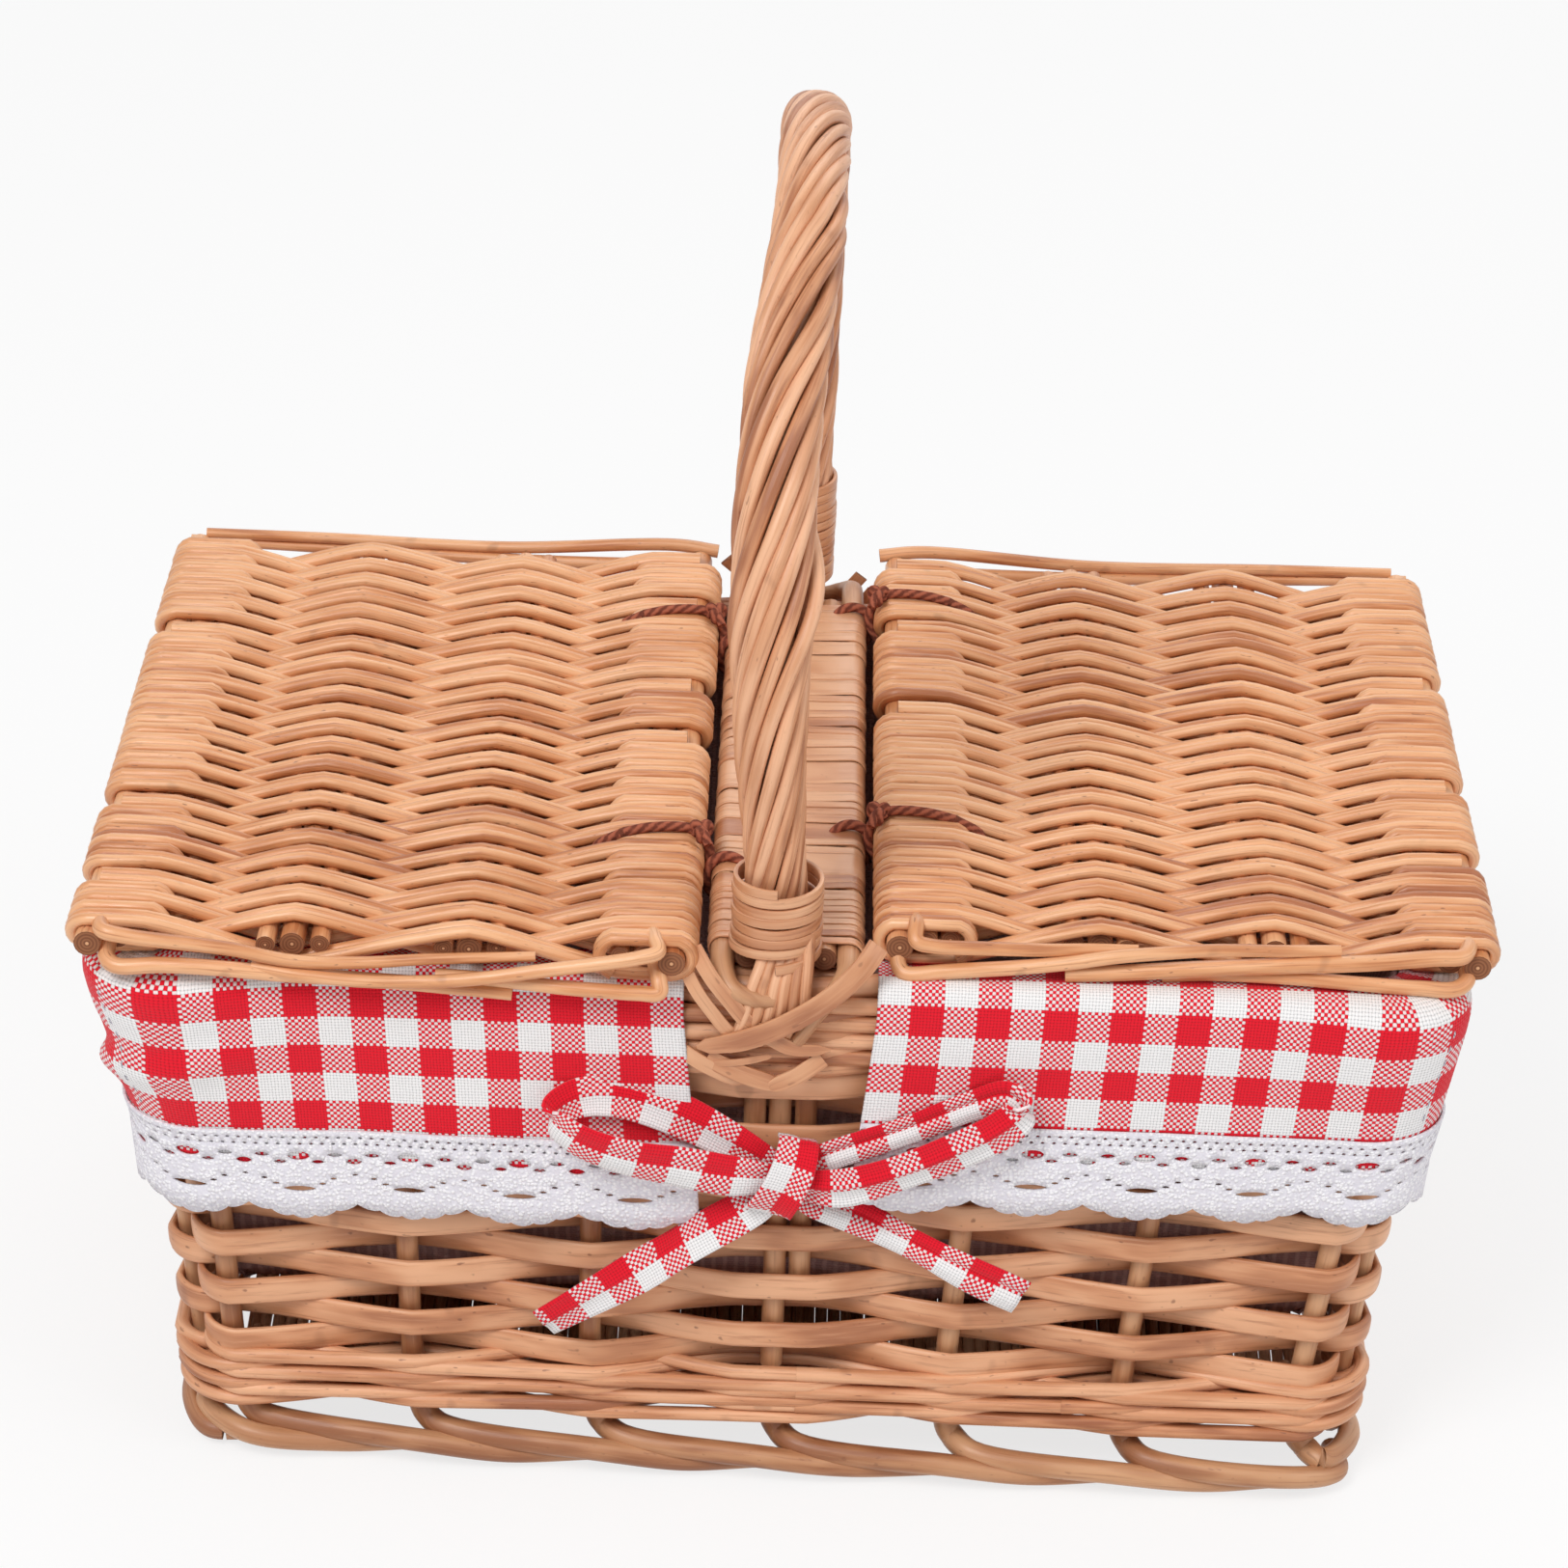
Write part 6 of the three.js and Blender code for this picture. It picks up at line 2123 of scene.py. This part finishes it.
@dataclass
class Liner(SubAssembly):
    """The plain lining bag inside the wall."""

    bottom: float = 51.0
    top: float = 169.2
    profile: tuple[Pair, ...] = ((51.0, -13.5), (57.0, -10.2), (160.0, -9.9), (169.2, -7.4))
    fold: float = 0.9
    thickness: float = 0.7
    columns: int = 240
    rows: int = 44
    rings: int = 14
    stake_way: float = 26.0
    corner_loss: float = 80.0

    def build(self) -> None:
        """Builds and dresses the liner."""
        columns = self.columns
        u, z = np.meshgrid(
            np.linspace(0, self.wall.stakes, columns, endpoint=False),
            self.top + (self.bottom - self.top) * np.linspace(0, 1, self.rows),
        )
        phase = self.rng.uniform(0, 2 * math.pi, 4)
        fold = np.sin(u * 5.1 + 0.02 * z + phase[0]) + np.sin(u * 3.0 - 0.035 * z + phase[1])
        depth = self.fold * np.clip((self.top - z) / 40, 0, 1)
        walls = self.wall.at(u, z, np.interp(z, *zip(*self.profile)) - depth * (1 + 0.5 * fold))
        points = [walls.reshape(-1, 3)]
        flat = [np.stack([u.ravel() * self.stake_way, -(self.top - z.ravel())], axis=1)]
        faces = [list(face) for face in grid_faces(self.rows, columns)]
        for a in range(0, (self.rows - 1) * columns, columns):
            b = a + columns - 1
            faces.append([b, a, a + columns, b + columns])
        middle = np.array([0.0, 0.0, self.bottom])
        for k in range(1, self.rings):
            ring = middle + (walls[-1] - middle) * (1 - k / self.rings)
            ring[:, 2] += 0.5 * np.sin(ring[:, 0] / 17) * np.cos(ring[:, 1] / 14) * min(1, k / 3)
            points.append(ring)
            flat.append(ring[:, :2])
        start = (self.rows - 1) * columns
        for first in range(start, start + (self.rings - 1) * columns, columns):
            for j in range(columns):
                a, b = first + j, first + (j + 1) % columns
                faces.append([a, b, b + columns, a + columns])
        centre, inner = start + self.rings * columns, start + (self.rings - 1) * columns
        faces += [[inner + j, inner + (j + 1) % columns, centre] for j in range(columns)]
        flat = np.vstack([*flat, middle[:2]])
        sheet = cloth_object("lining_bag", np.vstack([*points, middle]), faces, flat)
        self._declare(self.dress(thicken(sheet, self.thickness), Look.LINER, "liner_bag"))

    def _declare(self, bag: Piece) -> None:
        """Args:
            bag: The finished bag, which is not used.
        """
        half_x, half_y = (float(half) for half in self.wall.half(self.top))


# A bow's ribbons: where the pattern starts along each, how deep its lengthwise crease is, and its stops. A
# stop is a place across, behind the bow's middle and up, which way the width lies, the width and the cup.
RIBBONS = {
    "left_loop": (3, 0.5, (
        (1, 1.2, 112, 0.2, 0.1, 0.9, 7.5, 0), (-13, 2.6, 119.5, 0.35, 0.15, 0.9, 11, 0),
        (-30, 3.4, 128, 0.25, 0.3, 0.9, 12.5, -0.6), (-46, 3, 133, 0.1, 0.4, 0.9, 12, -0.8),
        (-58, 0.8, 132.6, -0.2, 0.35, 0.9, 11, -0.6), (-63.6, -3.4, 129.6, -0.25, 0.1, 1, 10.5, 0.4),
        (-58, -6.9, 125.6, 0.1, -0.25, 1, 11.5, 0.8), (-44, -7.6, 120, 0.3, -0.3, 0.95, 13.5, 1),
        (-28, -6.4, 116.6, 0.28, -0.15, 0.95, 14, 0.9), (-13, -4, 112.6, 0.3, 0, 0.95, 13, 0.6),
        (1, -2.2, 111, 0.2, 0, 0.95, 8, 0.2))),
    "right_loop": (9, 1.7, (
        (4, 0.8, 112.5, -0.4, 0.2, 0.9, 7.5, 0), (17, 1.6, 118, -0.45, 0.2, 0.9, 8.5, 0),
        (36, 1.8, 126, -0.4, 0.3, 0.9, 8, 0), (54, 1.6, 135, -0.45, 0.3, 0.9, 8.5, 0.3),
        (63.5, 0.3, 138.8, -0.35, 0.2, 0.9, 9.5, 0.5), (67.4, -2, 136, -0.1, 0.1, 1, 11, 0.6),
        (62, -4.2, 130.8, -0.4, -0.1, 0.95, 12.5, 0.6), (48, -4.6, 122.6, -0.5, -0.2, 0.9, 13, 0.8),
        (32, -4.2, 114.8, -0.42, -0.15, 0.9, 12, 0.9), (17, -3.2, 109.2, -0.38, 0, 0.95, 12.5, 0.6),
        (4, -1.6, 109.6, -0.3, 0, 0.95, 8, 0.2))),
    "left_tail": (12, 0.7, (
        (2, 0.6, 107.5, 0.5, 0, 0.85, 8, 0), (-7, 0.4, 100.2, 0.5, 0.1, 0.85, 11.5, 0.4),
        (-20, 1, 90.4, 0.5, 0.2, 0.8, 12, 0.8), (-34, 2.2, 79.2, 0.62, 0.15, 0.75, 12.2, 0.2),
        (-49, 2, 68.6, 0.52, 0, 0.85, 12.4, -0.4), (-65.6, 0.8, 58.2, 0.5, -0.15, 0.85, 12.6, 0.3))),
    "right_tail": (5, 1.5, (
        (3, 1, 107, -0.35, 0, 0.9, 8, 0), (11, 4, 100.2, -0.35, 0.1, 0.9, 9.5, 0.4),
        (24, 7.4, 93.2, -0.3, 0.2, 0.9, 10.5, 0.6), (40, 4.4, 86.4, -0.35, 0.3, 0.9, 8.5, 0.9),
        (55, 1.6, 79.6, -0.42, 0.1, 0.88, 11, 0.4), (70.6, 0.6, 72.6, -0.36, -0.1, 0.93, 12.6, 0.1))),
    "knot": (6, 0.4, (
        (5, 3.4, 121.4, 1, 0, -0.2, 11, 0), (5.6, -2.4, 122.6, 1, 0, -0.25, 11.5, -0.6),
        (4.4, -6.2, 117.2, 1, -0.1, -0.3, 12, -1.2), (1.9, -7.4, 110.4, 1, 0, -0.3, 12.4, -1.4),
        (-1.2, -6, 103.6, 1, 0.05, -0.32, 13, -1.2), (-2.6, -2.2, 99.8, 1, 0, -0.25, 13.4, -0.6),
        (-1.6, 2.6, 101.2, 1, 0, 0.1, 11, 0))),
}


@dataclass
class Bow(SubAssembly):
    """A bow of gingham ribbon, tied between the flaps' corners."""

    flat_width: float = 12.5
    thickness: float = 0.9
    steps: int = 9
    columns: int = 13
    out: float = 136.0
    pattern_shift: float = 9.3

    def build(self) -> None:
        """Builds and dresses the bow at the front and the one at the back."""
        for end in ENDS:
            ribbons = [self._ribbon(f"{end}_{name}", *route) for name, route in RIBBONS.items()]
            piece = join_pieces([part for part, _ in ribbons], end + "_ribbon_bow")
            if end == "back":
                piece.data.transform(Matrix.Rotation(math.pi, 4, "Z"))
            self.dress(piece, Look.GINGHAM, end + "_bow")

    def _ribbon(
        self, name: str, start: float, crease: float, stops: tuple[tuple[float, ...], ...]
    ) -> tuple[Piece, float]:
        """Sews one ribbon along its stops.

        Args:
            name: The ribbon's name.
            start: Where the pattern starts along it.
            crease: How deep its lengthwise crease is.
            stops: Its given places.

        Returns:
            The ribbon and its length.
        """
        line = smooth([(x, y - self.out, z) for x, y, z, *_ in stops], self.steps)
        across = smooth([stop[3:6] for stop in stops], self.steps)
        width, cup = np.hsplit(smooth([stop[6:] for stop in stops], self.steps), 2)
        along = unit(np.gradient(line, axis=0))
        across = unit(across - along * np.sum(across * along, axis=1)[:, None])
        normal = np.cross(along, across)
        t = np.linspace(-1, 1, self.columns)
        fold = -crease * np.exp(-(((t - 0.18) / 0.2) ** 2))
        fold += 0.4 * crease * np.exp(-(((t + 0.45) / 0.25) ** 2))
        height = cup * (1 - t**2) * np.sign(normal[:, 1:2] * -1 + 1e-9) + fold * 0.8
        points = line[:, None] + across[:, None] * (width / 2 * t)[..., None]
        points = points + normal[:, None] * height[..., None]
        way = way_along(line)
        down = np.broadcast_to(t * self.flat_width / 2 + self.pattern_shift, (len(line), self.columns))
        flat = np.stack([np.broadcast_to(start + way[:, None], down.shape), down], axis=-1).reshape(-1, 2)
        sheet = cloth_object(name, points.reshape(-1, 3), grid_faces(len(line), self.columns), flat)
        return thicken(sheet, self.thickness), float(way[-1])


def seen_directly(t: NodeTools) -> Socket:
    """1 for a ray from the camera, a reflection or a clear thing, 0 for light."""
    path = t.node("ShaderNodeLightPath").outputs
    shiny = t.math("MAXIMUM", path["Is Glossy Ray"], path["Is Transmission Ray"])
    return t.math("MAXIMUM", path["Is Camera Ray"], shiny)


@dataclass(frozen=True)
class Lamp:
    """A square soft light: its name, its place in metres, its size and its power."""

    name: str
    place: Triple
    size: float
    power: float

    def build(self, target: Vector) -> None:
        """Hangs the lamp.

        Args:
            target: The place that it is turned to.
        """
        data = bpy.data.lights.new(self.name, "AREA")
        data.size = self.size
        data.energy = self.power
        place = Vector(self.place)
        turn = (target - place).to_track_quat("-Z", "Y").to_matrix().to_4x4()
        add_object(self.name, data).matrix_world = Matrix.Translation(place) @ turn


@dataclass(frozen=True)
class Studio:
    """The camera of the photograph, plain soft light and a pale floor on white."""

    focal_pixels: float = 5308.0
    image_pixels: float = 1625.0
    sensor: float = 36.0
    place: Triple = (-2.2, -1371.3, 864.8)
    pitch: float = 62.97
    roll: float = 2.03
    far: float = 30.0
    floor_half: float = 4.0
    floor_grey: float = 0.9
    floor_glow: float = 0.76
    world_light: float = 0.44
    aim: Triple = (0.0, 0.0, 0.15)
    lamps: tuple[Lamp, ...] = (
        Lamp("key_light", (-0.9, -1.5, 2.1), 1.0, 36.0),
        Lamp("fill_light", (1.7, -0.9, 1.5), 1.6, 13.5),
        Lamp("back_light", (0.3, 1.7, 1.9), 1.6, 12.5),
    )

    def build(self) -> None:
        """Builds the camera, the lights, the floor and the white behind them."""
        self._camera()
        self._world()
        self._floor()
        for lamp in self.lamps:
            lamp.build(Vector(self.aim))
        bpy.context.scene.view_settings.view_transform = "Standard"

    def _camera(self) -> None:
        """The camera at the photograph's place and angle."""
        data = bpy.data.cameras.new("photo_camera")
        data.sensor_width = self.sensor
        data.lens = self.focal_pixels / self.image_pixels * self.sensor
        data.clip_end = self.far
        camera = add_object("photo_camera", data)
        tilt = Matrix.Rotation(math.radians(self.pitch), 4, "X")
        roll = Matrix.Rotation(math.radians(self.roll), 4, "Z")
        camera.matrix_world = Matrix.Translation(Vector(self.place) * MM) @ tilt @ roll
        bpy.context.scene.camera = camera

    def _world(self) -> None:
        """White where the camera, a reflection or a clear thing sees it, softer as a light."""
        world = bpy.data.worlds.new("soft_white")
        bpy.context.scene.world = world
        world.use_nodes = True
        t = NodeTools(world.node_tree)
        strength = t.times(seen_directly(t), 1.0 - self.world_light, self.world_light)
        t.feed(t.tree.nodes["Background"], {"Color": (1.0, 1.0, 1.0, 1.0), "Strength": strength})

    def _floor(self) -> None:
        """A pale floor that keeps the shadow and otherwise shows white."""
        half = self.floor_half
        mesh = bpy.data.meshes.new("floor")
        corners = [(-half, -half, 0), (half, -half, 0), (half, half, 0), (-half, half, 0)]
        mesh.from_pydata(corners, [], [(0, 1, 2, 3)])
        material, t, shader = new_material("pale_floor")
        grey = (*[self.floor_grey] * 3, 1.0)
        t.feed(shader, {"Base Color": grey, "Roughness": 0.9, "Specular IOR Level": 0.0})
        glow = t.node("ShaderNodeEmission", {"Color": (1.0, 1.0, 1.0, 1.0), "Strength": 1.0})
        share = t.times(seen_directly(t), self.floor_glow)
        mixed = t.node("ShaderNodeMixShader", {0: share, 1: shader.outputs[0], 2: glow.outputs[0]})
        t.feed(t.tree.nodes["Material Output"], {"Surface": mixed.outputs[0]})
        mesh.materials.append(material)
        add_object("floor", mesh)


def make_workshop() -> Workshop:
    """The workshop with its materials, each built once."""
    effects = SharedEffects()
    materials = {finish.name: finish.make(effects) for finish in FINISHES}
    return Workshop(SweepTree(), materials, np.random.default_rng(20260318))


def main() -> None:
    """Builds the basket around the frame."""
    logging.basicConfig(level=logging.INFO, format="%(message)s")
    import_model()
    Studio().build()
    shop = make_workshop()
    creases = (Crease((118.0, 38.0), (232.0, 74.0), 5.0, 2.6), Crease((150.0, 40.0), (186.0, 62.0), 4.0, 1.6))
    sub_assemblies = [
        Wall(shop),
        Base(shop),
        Handle(shop),
        Bridge(shop),
        Lid(shop),
        Lid(shop, side=Side.RIGHT, stick_ends=(-122.3, 132.0), ties=(-57.0, 92.0)),
        Liner(shop),
        Flap(shop, start=28.0, bottom=117.0, creases=creases, flare=11.0),
        Flap(shop, side=Side.RIGHT, start=26.0, bottom=126.0, flare=6.0),
        Bow(shop),
    ]
    for assembly in sub_assemblies:
        assembly.build()


if __name__ == "__main__":
    main()
